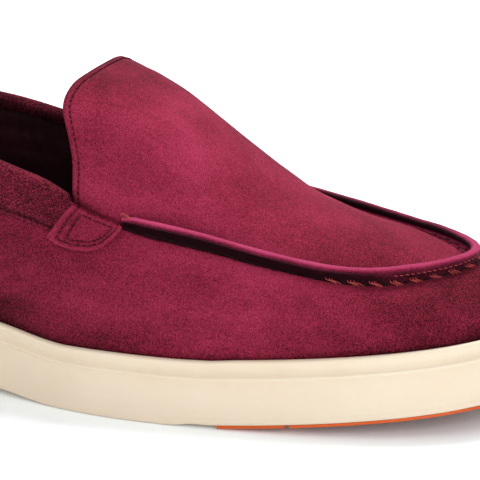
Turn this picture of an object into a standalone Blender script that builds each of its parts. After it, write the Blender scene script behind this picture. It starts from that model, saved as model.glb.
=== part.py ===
"""A plain moccasin-toe slip-on shoe: suede upper, leather lining, rubber cup sole.

The stations below run once round the shoe, from the back of the heel along the
outer (lateral) side to the toe and back along the inner (medial) side. Each one
gives a point of the sole's plan outline and the matching point of the upper's top
edge: the topline round the opening, and the moc seam from the tabs forward. Every
piece of the upper is a layer at its own depth under, or height over, the skin
between those two curves. All lengths are in metres.
"""

import math

import bmesh
import bpy
import numpy as np

# Driving dimensions
LENGTH = 0.300
CENTRE_Y = -0.0012
STATIONS = 28
STEPS_PER_STATION = 3

# Sole
HEEL_HEIGHT = 0.0236
SIDE_HEIGHTS = (
    (0.060, HEEL_HEIGHT), (0.105, 0.0240), (0.140, 0.0230), (0.160, 0.0234), (0.183, 0.0236),
    (0.205, 0.0244), (0.300, 0.0242),
)
SPRING_START = 0.195
SPRING_RISE = 0.0102
SPRING_POWER = 1.15
ARCH_START = 0.070
ARCH_END = 0.140
ARCH_RISE = 0.0026
TREAD_THICKNESS = 0.0009
CUP_BOTTOM = 0.0012
CUP_FLOOR = 0.0050
CUP_WALL = 0.0036
BOARD_BOTTOM = 0.0133

# Layers of the upper, as heights over the suede's outer face
GAP = 0.0003
FEATHER_INSET = 0.0039
SUEDE = 0.0014
STIFFENER_DEPTH = SUEDE + GAP
STIFFENER = 0.0015
LINING_DEPTH = STIFFENER_DEPTH + STIFFENER + GAP
LINING = 0.0008
OVERLAY = 0.0012
THREAD_RADIUS = 0.0003

# The moc seam and the tongue
ROLL_HEIGHT = 0.0050
TONGUE_FOAM = 0.0018
APRON_INSET = 0.0030
TAB_REAR = 6.62
TAB_FRONT = 7.50
TAB_TOP = 0.0006
ROLL_START = 7.58
COLLAR_FRONT = 6.38
COLLAR_WIDTH = 0.0178
FOLD_DEPTH = 0.0030

# Lateral half of the sole outline, heel back to toe tip
SOLE_LATERAL = (
    (0.000, 0.000), (0.006, -0.0200), (0.022, -0.0335), (0.050, -0.0390),
    (0.085, -0.0412), (0.112, -0.0452), (0.136, -0.0512), (0.160, -0.0545),
    (0.185, -0.0541), (0.210, -0.0515), (0.236, -0.0468), (0.260, -0.0393),
    (0.280, -0.0277), (0.294, -0.0115), (0.300, 0.0060),
)
# Medial half, toe to heel
SOLE_MEDIAL = (
    (0.2955, 0.0225), (0.283, 0.0385), (0.262, 0.0474), (0.237, 0.0508),
    (0.210, 0.0506), (0.185, 0.0483), (0.160, 0.0448), (0.136, 0.0418),
    (0.112, 0.0398), (0.085, 0.0392), (0.050, 0.0385), (0.022, 0.0333),
    (0.006, 0.0200),
)
# Top edge of the suede wall, heel back to the front of the moc seam
TOP_LATERAL = (
    (0.009, 0.000, 0.0900), (0.014, -0.0155, 0.0900), (0.027, -0.0255, 0.0898),
    (0.052, -0.0312, 0.0886), (0.082, -0.0343, 0.0862), (0.107, -0.0367, 0.0823),
    (0.129, -0.0386, 0.0765), (0.149, -0.0406, 0.0690), (0.168, -0.0409, 0.0643),
    (0.188, -0.0396, 0.0611), (0.208, -0.0377, 0.0570), (0.228, -0.0340, 0.0530),
    (0.246, -0.0267, 0.0508), (0.262, -0.0145, 0.0511), (0.2735, 0.0030, 0.0530),
)
TOP_MEDIAL = (
    (0.2640, 0.0200, 0.0534), (0.248, 0.0312, 0.0532), (0.229, 0.0368, 0.0545),
    (0.208, 0.0392, 0.0574), (0.188, 0.0402, 0.0604), (0.168, 0.0409, 0.0634),
    (0.149, 0.0406, 0.0690), (0.129, 0.0386, 0.0752), (0.107, 0.0367, 0.0808),
    (0.082, 0.0343, 0.0862), (0.052, 0.0312, 0.0886), (0.027, 0.0255, 0.0898),
    (0.014, 0.0155, 0.0900),
)
# Height of the instep and tongue along the middle of the shoe
CREST = (
    (0.134, 0.1117), (0.143, 0.1099), (0.152, 0.1075), (0.160, 0.1034),
    (0.168, 0.0982), (0.184, 0.0874), (0.199, 0.0768), (0.207, 0.0722),
    (0.216, 0.0684), (0.226, 0.0650), (0.238, 0.0618), (0.250, 0.0580),
    (0.262, 0.0552), (0.274, 0.0536),
)
# Rows across the tongue, behind the seam: edge (mirrored on the medial side), middle
TONGUE_ROWS = (
    ((0.1450, 0.0369, 0.0710), (0.1445, 0.1094)),
    ((0.1420, 0.0364, 0.0724), (0.1395, 0.1107)),
    ((0.1397, 0.0360, 0.0736), (0.1344, 0.1115)),
)
# Lower edge of the tab, from its rear corner to its front: place, distance down
TAB_EDGE = (
    (6.04, 0.0202), (6.22, 0.0209), (6.46, 0.0204), (6.74, 0.0184), (7.00, 0.0148),
    (7.22, 0.0100), (7.40, 0.0055), (7.50, 0.0024),
)
TONGUE_SQUARENESS = 4.0
TONGUE_SKEW = 0.025

CREAM = (0.890, 0.800, 0.640)
ORANGE = (0.680, 0.120, 0.014)
SUEDE_RED = (0.300, 0.022, 0.072)
COLLAR_RED = (0.210, 0.014, 0.050)
LINING_DARK = (0.018, 0.004, 0.007)
FOAM_GREY = (0.320, 0.310, 0.300)
BOARD_TAN = (0.450, 0.330, 0.200)
STIFF_WHITE = (0.600, 0.580, 0.540)
THREAD_SALMON = (0.520, 0.090, 0.090)


def closed_curve(points):
    """A smooth closed curve through the points, one unit of parameter per point."""
    points = np.asarray(points, float)
    count = len(points)
    matrix = np.zeros((count, count))
    for row in range(count):
        matrix[row, row] = 4.0
        matrix[row, (row - 1) % count] = 1.0
        matrix[row, (row + 1) % count] = 1.0
    chords = np.roll(points, -1, axis=0) - np.roll(points, 1, axis=0)
    slopes = np.linalg.solve(matrix, 3.0 * chords)

    def at(place):
        start = int(math.floor(place))
        t = place - start
        a = start % count
        b = (start + 1) % count
        return (
            (1 + 2 * t) * (1 - t) ** 2 * points[a]
            + t * (1 - t) ** 2 * slopes[a]
            + t * t * (3 - 2 * t) * points[b]
            + t * t * (t - 1) * slopes[b]
        )

    return at


def smoothstep(low, high, value):
    t = min(max((value - low) / (high - low), 0.0), 1.0)
    return t * t * (3.0 - 2.0 * t)


outline = closed_curve(SOLE_LATERAL + SOLE_MEDIAL)
top_edge = closed_curve(TOP_LATERAL + TOP_MEDIAL)


def plan_normal(curve, place):
    """Unit normal of a closed curve in plan, pointing out of the shoe."""
    ahead = curve(place + 0.02)
    behind = curve(place - 0.02)
    along = ahead[:2] - behind[:2]
    along = along / np.linalg.norm(along)
    return np.array([along[1], -along[0]])


def outline_point(place, inset):
    return outline(place) - inset * plan_normal(outline, place)


def lift(x):
    """How far the sole rises off the ground: the waist's arch and the toe spring."""
    ahead = max(x - SPRING_START, 0.0) / (LENGTH - SPRING_START)
    waist = min(max((x - ARCH_START) / (ARCH_END - ARCH_START), 0.0), 1.0)
    return SPRING_RISE * ahead ** SPRING_POWER + ARCH_RISE * math.sin(math.pi * waist) ** 2


def tread_recess(x):
    """How far the cup stands off the ground where a tread pad lies under it."""
    clear = smoothstep(0.066, 0.076, x) * (1.0 - smoothstep(0.181, 0.191, x))
    return CUP_BOTTOM * (1.0 - clear)


def sole_height(x):
    """Height of the sole's lip over its underside."""
    return float(np.interp(x, *zip(*SIDE_HEIGHTS)))


def toe_share(place):
    """0 at the heel, 1 round the toe."""
    return smoothstep(4.0, 9.0, min(place % STATIONS, STATIONS - place % STATIONS))


def wall_point(place, level):
    """A point of the suede wall: level 0 at the sole's lip, 1 at the top edge."""
    flat = outline_point(place, FEATHER_INSET)
    lip = sole_height(flat[0]) + lift(flat[0])
    foot = np.array([flat[0], flat[1], lip])
    if level < 0.0:
        depth = lip - BOARD_BOTTOM - lift(flat[0])
        return foot + np.array([0.0, 0.0, depth * level])
    head = top_edge(place)
    rise = head[2] - lip
    normal = plan_normal(outline, place)
    toe = toe_share(place)
    lean = foot[:2] - head[:2]
    low = foot + np.array([0.0, 0.0, 0.42 * rise])
    low[:2] += (0.0024 - 0.0010 * toe) * normal
    high = head - np.array([0.0, 0.0, (0.30 - 0.20 * toe) * rise])
    high[:2] += (0.48 + 0.04 * toe) * lean
    t = level
    return (
        (1 - t) ** 3 * foot
        + 3 * t * (1 - t) ** 2 * low
        + 3 * t * t * (1 - t) * high
        + t ** 3 * head
    )


def wall_normal(place, level):
    level = min(level, 0.995)
    if level < 0.0:
        flat = plan_normal(outline, place)
        return np.array([flat[0], flat[1], 0.0])
    along = wall_point(place + 0.03, level) - wall_point(place - 0.03, level)
    low = max(level - 0.01, 0.0)
    up = wall_point(place, level + 0.005) - wall_point(place, low)
    normal = np.cross(along, up)
    return normal / np.linalg.norm(normal)


def skin(place, level, height):
    """A point over (or, with a negative height, under) the suede wall's face."""
    return wall_point(place, level) + height * wall_normal(place, level)


def wall_length(place):
    points = [wall_point(place, level) for level in np.linspace(0.0, 1.0, 9)]
    return sum(np.linalg.norm(b - a) for a, b in zip(points, points[1:]))


def below_top(place, drop, height):
    """A point at a distance down the wall from its top edge; negative is above it."""
    if drop >= 0.0:
        return skin(place, 1.0 - drop / wall_length(place), height)
    up = wall_point(place, 1.0) - wall_point(place, 0.97)
    up = up / np.linalg.norm(up)
    return skin(place, 1.0, height) - drop * up


def places(start, end):
    """Places from start to end, on the common steps so that layers keep their gaps."""
    step = 1.0 / STEPS_PER_STATION
    first = math.floor(start / step + 1e-6) + 1
    last = math.ceil(end / step - 1e-6) - 1
    return [start] + [index * step for index in range(first, last + 1)] + [end]


def finish_mesh(name, vertices, faces, colour, roughness, smooth=True):
    mesh = bpy.data.meshes.new(name)
    shifted = [
        (p[0] - LENGTH / 2.0, p[1] - CENTRE_Y, p[2]) for p in vertices
    ]
    mesh.from_pydata(shifted, [], faces)
    work = bmesh.new()
    work.from_mesh(mesh)
    bmesh.ops.remove_doubles(work, verts=work.verts, dist=0.000005)
    bmesh.ops.recalc_face_normals(work, faces=work.faces)
    work.to_mesh(mesh)
    work.free()
    if smooth:
        mesh.shade_smooth()
        mesh.set_sharp_from_angle(angle=math.radians(40))
    material = bpy.data.materials.new(name)
    material.use_nodes = True
    shader = material.node_tree.nodes["Principled BSDF"]
    shader.inputs["Base Color"].default_value = (*colour, 1.0)
    shader.inputs["Roughness"].default_value = roughness
    shader.inputs["Metallic"].default_value = 0.0
    mesh.materials.append(material)
    part = bpy.data.objects.new(name, mesh)
    bpy.context.scene.collection.objects.link(part)
    return part


def tube_of_sections(sections, closed):
    """Vertices and faces of a bar whose closed cross-sections are given in order."""
    count = len(sections[0])
    vertices = [point for section in sections for point in section]
    faces = []
    rows = len(sections) if closed else len(sections) - 1
    for row in range(rows):
        this = row * count
        after = (row + 1) % len(sections) * count
        for step in range(count):
            right = (step + 1) % count
            faces.append((this + step, this + right, after + right, after + step))
    if not closed:
        faces.append(tuple(range(count)))
        last = (len(sections) - 1) * count
        faces.append(tuple(range(last + count - 1, last - 1, -1)))
    return vertices, faces


def sheet_solid(name, outer, inner, colour, roughness):
    """A thin solid between two grids of points of the same size.

    Both faces are cut into triangles along the same diagonals, so that one sheet
    lies close under the next without touching it.
    """
    rows = len(outer)
    columns = len(outer[0])
    vertices = [point for row in outer for point in row]
    vertices += [point for row in inner for point in row]
    back = rows * columns
    faces = []
    for row in range(rows - 1):
        for column in range(columns - 1):
            a = row * columns + column
            b = a + 1
            c = a + columns + 1
            d = a + columns
            faces += [(a, b, c), (a, c, d)]
            faces += [(back + c, back + b, back + a), (back + d, back + c, back + a)]
    border = [column for column in range(columns)]
    border += [row * columns + columns - 1 for row in range(1, rows)]
    border += [(rows - 1) * columns + column for column in range(columns - 2, -1, -1)]
    border += [row * columns for row in range(rows - 2, 0, -1)]
    for here, there in zip(border, border[1:] + border[:1]):
        faces.append((there, here, back + here, back + there))
    return finish_mesh(name, vertices, faces, colour, roughness)


def bar(name, sections, colour, roughness, closed=False):
    vertices, faces = tube_of_sections(sections, closed)
    return finish_mesh(name, vertices, faces, colour, roughness)


def cord(name, path, radius, colour, sides=4):
    """A thread along a path of points."""
    path = [np.asarray(point, float) for point in path]
    sections = []
    side = None
    for index, point in enumerate(path):
        ahead = path[min(index + 1, len(path) - 1)]
        behind = path[max(index - 1, 0)]
        along = (ahead - behind) / np.linalg.norm(ahead - behind)
        if side is None:
            side = np.cross(along, (0.0, 0.0, 1.0))
        side = side - along * np.dot(side, along)
        side = side / np.linalg.norm(side)
        up = np.cross(side, along)
        sections.append([
            point + radius * (math.cos(angle) * side + math.sin(angle) * up)
            for angle in (2.0 * math.pi * (turn + 0.5) / sides for turn in range(sides))
        ])
    return bar(name, sections, colour, 0.7)


def slab(name, inset, low, high, colour, roughness):
    """A flat layer of the sole, shaped like its outline and bent with its arch and toe spring."""
    ring = [outline_point(place, inset) for place in places(0.0, STATIONS)[:-1]]
    base = [(x, y, lift(x) + low) for x, y in ring]
    lid = [(x, y, lift(x) + high) for x, y in ring]
    count = len(ring)
    vertices = base + lid
    faces = []
    for step in range(count):
        right = (step + 1) % count
        faces.append((step, right, count + right, count + step))
    # Rows across the slab keep its top and bottom bent with the sole
    half = count // 2
    for shift in (0, count):
        for step in range(half):
            left = shift + (step + 1)
            right = shift + (count - step - 1) % count
            faces.append((shift + step, left, right, shift + (count - step) % count))
    return finish_mesh(name, vertices, faces, colour, roughness)


# ---- Sole ----

def cup_section(place):
    """The cup's side in section: from the floor's edge round the wall to the inside."""
    outer = (
        (0.0006, 0.0), (0.0001, 0.0004), (0.0000, 0.0018), (0.0002, 0.0036),
        (0.0003, 0.0110), (0.0007, 0.0169), (0.0003, 0.0175), (0.0009, 0.0183),
        (0.0015, 0.0198), (0.0015, 0.0214), (0.0012, 0.0225), (0.0017, 0.0233),
        (0.0025, 0.0236), (CUP_WALL, 0.0235),
    )
    points = []
    for inset, level in outer:
        x, y = outline_point(place, inset)
        stretch = sole_height(x) / HEEL_HEIGHT
        foot = tread_recess(x) * (1.0 - smoothstep(0.001, 0.004, level))
        points.append(np.array([x, y, lift(x) + level * stretch + foot]))
    x, y = outline_point(place, CUP_WALL)
    points.append(np.array([x, y, lift(x) + CUP_FLOOR]))
    return points


def cup_sole():
    ring = places(0.0, STATIONS)[:-1]
    sections = [cup_section(place) for place in ring]
    rows = len(sections[0])
    count = len(sections)
    vertices = [point for section in sections for point in section]
    faces = []
    for step in range(count):
        this = step * rows
        after = (step + 1) % count * rows
        for row in range(rows - 1):
            faces.append((this + row, after + row, after + row + 1, this + row + 1))
    for row in (0, rows - 1):
        for step in range(count // 2):
            faces.append((
                step * rows + row, (step + 1) * rows + row,
                (count - step - 1) % count * rows + row, (count - step) % count * rows + row,
            ))
    return finish_mesh("cup_sole", vertices, faces, CREAM, 0.55)


def tread(name, start, end):
    """A thin outsole pad across the sole between two distances from the heel."""
    inset = 0.0008
    lateral = []
    medial = []
    for x in np.linspace(start, end, 11):
        lateral.append(edge_at(x, inset, 0.5, STATIONS / 2.0))
        medial.append(edge_at(x, inset, STATIONS / 2.0, STATIONS - 0.5))
    sections = []
    for left, right in zip(lateral, medial):
        base = lift(left[0])
        sections.append([
            np.array([left[0], left[1], base]),
            np.array([right[0], right[1], base]),
            np.array([right[0], right[1], base + TREAD_THICKNESS]),
            np.array([left[0], left[1], base + TREAD_THICKNESS]),
        ])
    return bar(name, sections, ORANGE, 0.6)


def edge_at(x, inset, low, high):
    """The outline's point at a distance from the heel, on one side of the sole."""
    rising = outline_point(low, inset)[0] < outline_point(high, inset)[0]
    for _ in range(40):
        middle = (low + high) / 2.0
        ahead = outline_point(middle, inset)[0] > x
        if ahead == rising:
            high = middle
        else:
            low = middle
    return np.array([x, outline_point(low, inset)[1]])


def sole_parts():
    cup_sole()
    tread("tread_heel", 0.008, 0.064)
    tread("tread_ball", 0.199, 0.2225)
    tread("tread_toe", 0.2245, 0.293)
    slab("sole_filler", CUP_WALL + 0.0004, CUP_FLOOR + GAP, 0.0129, FOAM_GREY, 0.9)
    inside = FEATHER_INSET + LINING_DEPTH + LINING
    slab("insole_board", inside + GAP, BOARD_BOTTOM, 0.0153, BOARD_TAN, 0.9)
    slab("footbed_foam", inside + 0.0006, 0.0156, 0.0196, FOAM_GREY, 0.9)
    slab("footbed_cover", inside + 0.0006, 0.0199, 0.0210, LINING_DARK, 0.6)


# ---- Upper ----

def band(name, start, end, levels, height, thickness, colour, roughness):
    """A layer of the wall between two places, its rows given as levels."""
    outer = []
    inner = []
    for place in places(start, end):
        outer.append([skin(place, level, height) for level in levels])
        inner.append([skin(place, level, height - thickness) for level in levels])
    return sheet_solid(name, outer, inner, colour, roughness)


def roll_share(place):
    """The seam rises out from under the tabs to its full height."""
    return 0.35 + 0.65 * smoothstep(TAB_FRONT, 8.2, min(place, STATIONS - place))


def roll_section(place):
    """The raised moc seam in section, standing on the wall's top edge."""
    shape = (
        (0.0013, 0.0003), (0.0019, 0.0011), (0.0021, 0.0028), (0.0012, 0.0044),
        (-0.0004, ROLL_HEIGHT), (-0.0020, 0.0043), (-0.0026, 0.0026), (-0.0025, 0.0003),
    )
    head = top_edge(place)
    normal = plan_normal(top_edge, place)
    return [
        np.array([head[0] + out * normal[0], head[1] + out * normal[1], head[2] + up])
        for out, up in ((out, GAP + (up - GAP) * roll_share(place)) for out, up in shape)
    ]


def seam_roll():
    sections = [roll_section(place) for place in places(ROLL_START, STATIONS - ROLL_START)]
    bar("seam_roll", sections, SUEDE_RED, 0.9)


def seam_thread(name, out, up):
    path = []
    for place in places(TAB_FRONT + 0.1, STATIONS - TAB_FRONT - 0.1):
        head = top_edge(place)
        normal = plan_normal(top_edge, place)
        path.append((head[0] + out * normal[0], head[1] + out * normal[1], head[2] + GAP + up * roll_share(place)))
    cord(name, path, THREAD_RADIUS, THREAD_SALMON)


def crest(x):
    xs = [point[0] for point in CREST]
    zs = [point[1] for point in CREST]
    return float(np.interp(x, xs, zs))


def apron_rows():
    """Rows across the apron and tongue: lateral edge, middle, medial edge, shape.

    The shape runs from 0, a shallow crown, to 1, the tongue's tall arch.
    """
    rows = []
    half = STATIONS / 2.0
    offsets = [0.15] + [0.5 * step for step in range(1, 15)]
    for offset in offsets:
        edges = []
        for place in (half - offset, half + offset):
            head = top_edge(place)
            normal = plan_normal(top_edge, place)
            flat = head[:2] - APRON_INSET * normal
            edges.append(np.array([flat[0], flat[1], head[2] + 0.0002]))
        middle = (edges[0] + edges[1]) / 2.0
        rise = smoothstep(0.0, 2.0, offset)
        middle[2] = (1.0 - rise) * (edges[0][2] + 0.0004) + rise * crest(middle[0])
        rows.append((edges[0], middle, edges[1], smoothstep(3.0, 9.5, offset)))
    for index, (edge, middle) in enumerate(TONGUE_ROWS):
        lateral = np.array([edge[0], -edge[1], edge[2]])
        medial = np.array(edge)
        shape = smoothstep(3.0, 9.5, 7.4 + 0.5 * index)
        rows.append((lateral, np.array([middle[0], 0.0, middle[1]]), medial, shape))
    return rows


def arch(lateral, middle, medial, shape, across):
    """A point on the arch over a row; across runs from -1 at the lateral edge to 1."""
    edge = lateral if across < 0.0 else medial
    reach = math.radians(40.0 + 35.0 * shape)
    turn = abs(across) * reach
    out = math.sin(turn) / math.sin(reach)
    down = (1.0 - math.cos(turn)) / (1.0 - math.cos(reach))
    quarter = abs(across) * math.pi / 2.0
    power = TONGUE_SQUARENESS
    radius = (math.sin(quarter) ** power + math.cos(quarter) ** power) ** (-1.0 / power)
    out += shape * (radius * math.sin(quarter) - out)
    down += shape * (1.0 - radius * math.cos(quarter) - down)
    point = middle + (edge - middle) * np.array([down, out, down])
    back = smoothstep(0.160, 0.134, middle[0])
    point[0] += back * (1.0 - down) * TONGUE_SKEW * point[1]
    return point


APRON_COLUMNS = 7


def apron_grid():
    """Points of the apron's face, each with its outward normal."""
    rows = apron_rows()
    acrosses = [step / APRON_COLUMNS for step in range(-APRON_COLUMNS, APRON_COLUMNS + 1)]
    points = np.array([
        [arch(*row, across) for across in acrosses] for row in rows
    ])
    along = np.gradient(points, axis=0)
    beside = np.gradient(points, axis=1)
    normals = np.cross(along, beside)
    normals = normals / np.linalg.norm(normals, axis=2, keepdims=True)
    if normals[len(rows) // 2, APRON_COLUMNS, 2] < 0.0:
        normals = -normals
    return points, normals


def apron_layer(name, first, last, trim, depth, thickness, colour, roughness):
    """A layer of the apron between two rows, so many columns short of its edges."""
    points, normals = apron_grid()
    rows = slice(first, last)
    columns = slice(trim, points.shape[1] - trim)
    points = points[rows, columns]
    normals = normals[rows, columns]
    depths = np.broadcast_to(np.asarray(depth, float), (len(points),))[:, None, None]
    outer = points - depths * normals
    inner = points - (depths + thickness) * normals
    return sheet_solid(name, list(map(list, outer)), list(map(list, inner)), colour, roughness)


def apron_parts():
    count = len(apron_rows())
    apron_layer("apron", 0, count, 0, 0.0, SUEDE, SUEDE_RED, 0.9)
    depth = [
        SUEDE + GAP + (TONGUE_FOAM + GAP) * smoothstep(12, 14, row) for row in range(1, count)
    ]
    apron_layer("apron_lining", 1, count, 1, depth, LINING, LINING_DARK, 0.6)
    apron_layer("tongue_foam", 14, count, 1, SUEDE + GAP, TONGUE_FOAM, FOAM_GREY, 0.9)
    points, normals = apron_grid()
    raised = points + (GAP + THREAD_RADIUS) * normals
    edge = 0.7 * raised[-1] + 0.3 * raised[-2]
    path = [edge[column] for column in range(1, 2 * APRON_COLUMNS)]
    cord("tongue_thread", path, THREAD_RADIUS, THREAD_SALMON)


def collar_section(place, width):
    """The collar strip in section: up the outside, over the topline, down inside."""
    outside = OVERLAY + GAP
    inside = -(LINING_DEPTH + LINING + GAP)
    behind = inside - OVERLAY
    shape = (
        (width, outside), (0.0080, outside), (0.0015, outside), (-0.0008, 0.0011),
        (-0.0017, 0.0), (-0.0020, -0.0021), (-0.0017, -0.0043), (-0.0008, -0.0054),
        (0.0015, behind), (FOLD_DEPTH, behind), (FOLD_DEPTH, inside), (0.0015, inside),
        (-0.0004, -0.0037), (-0.0006, -0.0020), (-0.0004, 0.0), (0.0015, GAP),
        (0.0080, GAP), (width, GAP),
    )
    return [below_top(place, drop, height) for drop, height in shape]


def collar(name, start, end):
    sections = [collar_section(place, COLLAR_WIDTH) for place in places(start, end)]
    bar(name, sections, COLLAR_RED, 0.95)


def collar_thread(name, start, end):
    height = OVERLAY + 2.0 * GAP + THREAD_RADIUS
    path = [below_top(place, COLLAR_WIDTH - 0.0015, height) for place in places(start, end)]
    cord(name, path, THREAD_RADIUS, THREAD_SALMON)


STRIP_HALF = 0.36


def heel_strip():
    """The strip over the back seam, from the sole's lip over the topline."""
    sections = []
    for place in (-STRIP_HALF, 0.0, STRIP_HALF):
        section = collar_section(place, COLLAR_WIDTH)
        reach = wall_length(place) - 0.0015
        levels = (1.0, 0.82, 0.62, 0.42)
        outer = [
            below_top(place, reach * level, OVERLAY + GAP) for level in levels
        ]
        inner = [below_top(place, reach * level, GAP) for level in reversed(levels)]
        sections.append(outer + section + inner)
    bar("heel_strip", sections, COLLAR_RED, 0.95)


def heel_thread(name, place):
    height = OVERLAY + 2.0 * GAP + THREAD_RADIUS
    reach = wall_length(place)
    path = [
        below_top(place, reach * level, height) for level in (0.92, 0.7, 0.5, 0.3, 0.1)
    ]
    cord(name, path, THREAD_RADIUS, THREAD_SALMON)


def tab_point(along, down, height, side):
    """A point of the tab; along 0 at its rear edge, down 0 at the topline seam."""
    share = along * (len(TAB_EDGE) - 1)
    steps = range(len(TAB_EDGE))
    edge_place = np.interp(share, steps, [point[0] for point in TAB_EDGE])
    edge_drop = np.interp(share, steps, [point[1] for point in TAB_EDGE])
    place = TAB_REAR + (TAB_FRONT - TAB_REAR) * along
    place += (edge_place - place) * down
    drop = TAB_TOP + (edge_drop - TAB_TOP) * down
    over = OVERLAY + GAP - (OVERLAY + GAP) * smoothstep(6.42, 6.85, place)
    if side > 0:
        place = STATIONS - place
    return below_top(place, drop, GAP + over + height)


def tab(name, side):
    steps = np.linspace(0.0, 1.0, 15)
    downs = (0.0, 0.2, 0.4, 0.6, 0.8, 1.0)
    outer = [[tab_point(along, down, OVERLAY, side) for down in downs] for along in steps]
    inner = [[tab_point(along, down, 0.0, side) for down in downs] for along in steps]
    sheet_solid(name, outer, inner, SUEDE_RED, 0.9)


def tab_thread(name, side):
    height = OVERLAY + GAP + THREAD_RADIUS
    route = (
        (0.10, 0.10), (0.10, 0.3), (0.10, 0.5), (0.10, 0.7), (0.11, 0.86), (0.20, 0.90),
        (0.32, 0.90), (0.44, 0.89), (0.56, 0.88), (0.68, 0.85), (0.79, 0.78), (0.86, 0.6), (0.88, 0.3),
    )
    path = [tab_point(along, down, height, side) for along, down in route]
    cord(name, path, THREAD_RADIUS, THREAD_SALMON)


def upper_parts():
    near_top = 0.985
    band("vamp_wall", 0.03, STATIONS - 0.03,
         (-1.0, 0.0, 0.2, 0.4, 0.6, 0.8, near_top), 0.0, SUEDE, SUEDE_RED, 0.9)
    depth = -STIFFENER_DEPTH
    band("toe_puff", 10.3, 17.7, (-0.95, 0.0, 0.2, 0.4, 0.6, 0.8), depth, STIFFENER,
         STIFF_WHITE, 0.8)
    band("interlining_lateral", 3.4, 10.2, (-0.95, 0.0, 0.2, 0.4, 0.6), depth, STIFFENER,
         FOAM_GREY, 0.9)
    band("interlining_medial", 17.8, 24.6, (-0.95, 0.0, 0.2, 0.4, 0.6), depth, STIFFENER,
         FOAM_GREY, 0.9)
    band("heel_counter", -3.3, 3.3, (-0.95, 0.0, 0.2, 0.4, 0.6), depth, STIFFENER,
         STIFF_WHITE, 0.8)
    band("collar_foam", -6.3, 6.3, (0.64, 0.8, near_top), depth, STIFFENER,
         FOAM_GREY, 0.9)
    depth = -LINING_DEPTH
    band("vamp_lining", 6.5, STATIONS - 6.5, (-0.97, 0.0, 0.2, 0.4, 0.6, 0.8), depth, LINING,
         LINING_DARK, 0.6)
    band("quarter_lining_lateral", 1.1, 6.4, (-0.97, 0.0, 0.2, 0.4, 0.6, 0.8, 0.97), depth,
         LINING, LINING_DARK, 0.6)
    band("quarter_lining_medial", STATIONS - 6.4, STATIONS - 1.1, (-0.97, 0.0, 0.2, 0.4, 0.6, 0.8, 0.97),
         depth, LINING, LINING_DARK, 0.6)
    band("heel_grip", -1.0, 1.0, (-0.97, 0.0, 0.2, 0.4, 0.6, 0.8, 0.97), depth, LINING,
         LINING_DARK, 0.8)
    collar("collar_lateral", STRIP_HALF + 0.04, COLLAR_FRONT)
    collar("collar_medial", STATIONS - COLLAR_FRONT, STATIONS - STRIP_HALF - 0.04)
    collar_thread("collar_thread_lateral", 0.6, 6.05)
    collar_thread("collar_thread_medial", STATIONS - 6.05, STATIONS - 0.6)
    heel_strip()
    heel_thread("heel_thread_lateral", STRIP_HALF - 0.1)
    heel_thread("heel_thread_medial", 0.1 - STRIP_HALF)
    tab("tab_lateral", -1)
    tab("tab_medial", 1)
    tab_thread("tab_thread_lateral", -1)
    tab_thread("tab_thread_medial", 1)
    seam_roll()
    seam_thread("moc_thread", 0.0026, 0.0006)
    seam_thread("roll_thread", 0.0028, 0.0030)


def main():
    for item in list(bpy.data.objects):
        bpy.data.objects.remove(item, do_unlink=True)
    sole_parts()
    upper_parts()
    apron_parts()


main()
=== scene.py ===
"""A plain suede slip-on with a raised moccasin seam, on a rubber cup sole.

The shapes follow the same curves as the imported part: stations run round the shoe from
the back of the heel along the lateral side to the toe and back along the medial side,
and every layer lies at its own height over the skin between the sole's lip and the top
edge. Lengths are in metres.
"""

import math

import bpy
import numpy as np
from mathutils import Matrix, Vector


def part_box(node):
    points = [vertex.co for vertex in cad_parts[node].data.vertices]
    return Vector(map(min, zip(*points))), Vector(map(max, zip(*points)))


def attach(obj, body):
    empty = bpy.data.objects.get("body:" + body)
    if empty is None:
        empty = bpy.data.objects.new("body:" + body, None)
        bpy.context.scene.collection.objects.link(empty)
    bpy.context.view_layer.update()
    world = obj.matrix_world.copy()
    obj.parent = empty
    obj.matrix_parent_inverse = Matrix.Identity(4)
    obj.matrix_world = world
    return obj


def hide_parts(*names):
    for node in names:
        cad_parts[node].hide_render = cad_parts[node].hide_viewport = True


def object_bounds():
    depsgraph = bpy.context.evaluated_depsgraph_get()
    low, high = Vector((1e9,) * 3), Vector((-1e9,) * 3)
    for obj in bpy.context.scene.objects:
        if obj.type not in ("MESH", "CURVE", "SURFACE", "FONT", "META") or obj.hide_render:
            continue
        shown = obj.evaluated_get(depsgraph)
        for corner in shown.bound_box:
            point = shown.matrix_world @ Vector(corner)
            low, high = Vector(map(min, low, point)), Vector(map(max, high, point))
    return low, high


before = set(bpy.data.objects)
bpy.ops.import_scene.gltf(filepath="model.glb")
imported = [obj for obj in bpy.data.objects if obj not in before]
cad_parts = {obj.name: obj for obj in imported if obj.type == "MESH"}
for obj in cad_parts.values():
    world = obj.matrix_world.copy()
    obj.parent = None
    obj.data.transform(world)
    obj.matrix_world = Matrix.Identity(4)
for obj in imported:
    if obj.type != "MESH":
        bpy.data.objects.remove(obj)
cad_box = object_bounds()
sole_low, sole_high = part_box("cup_sole")

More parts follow.
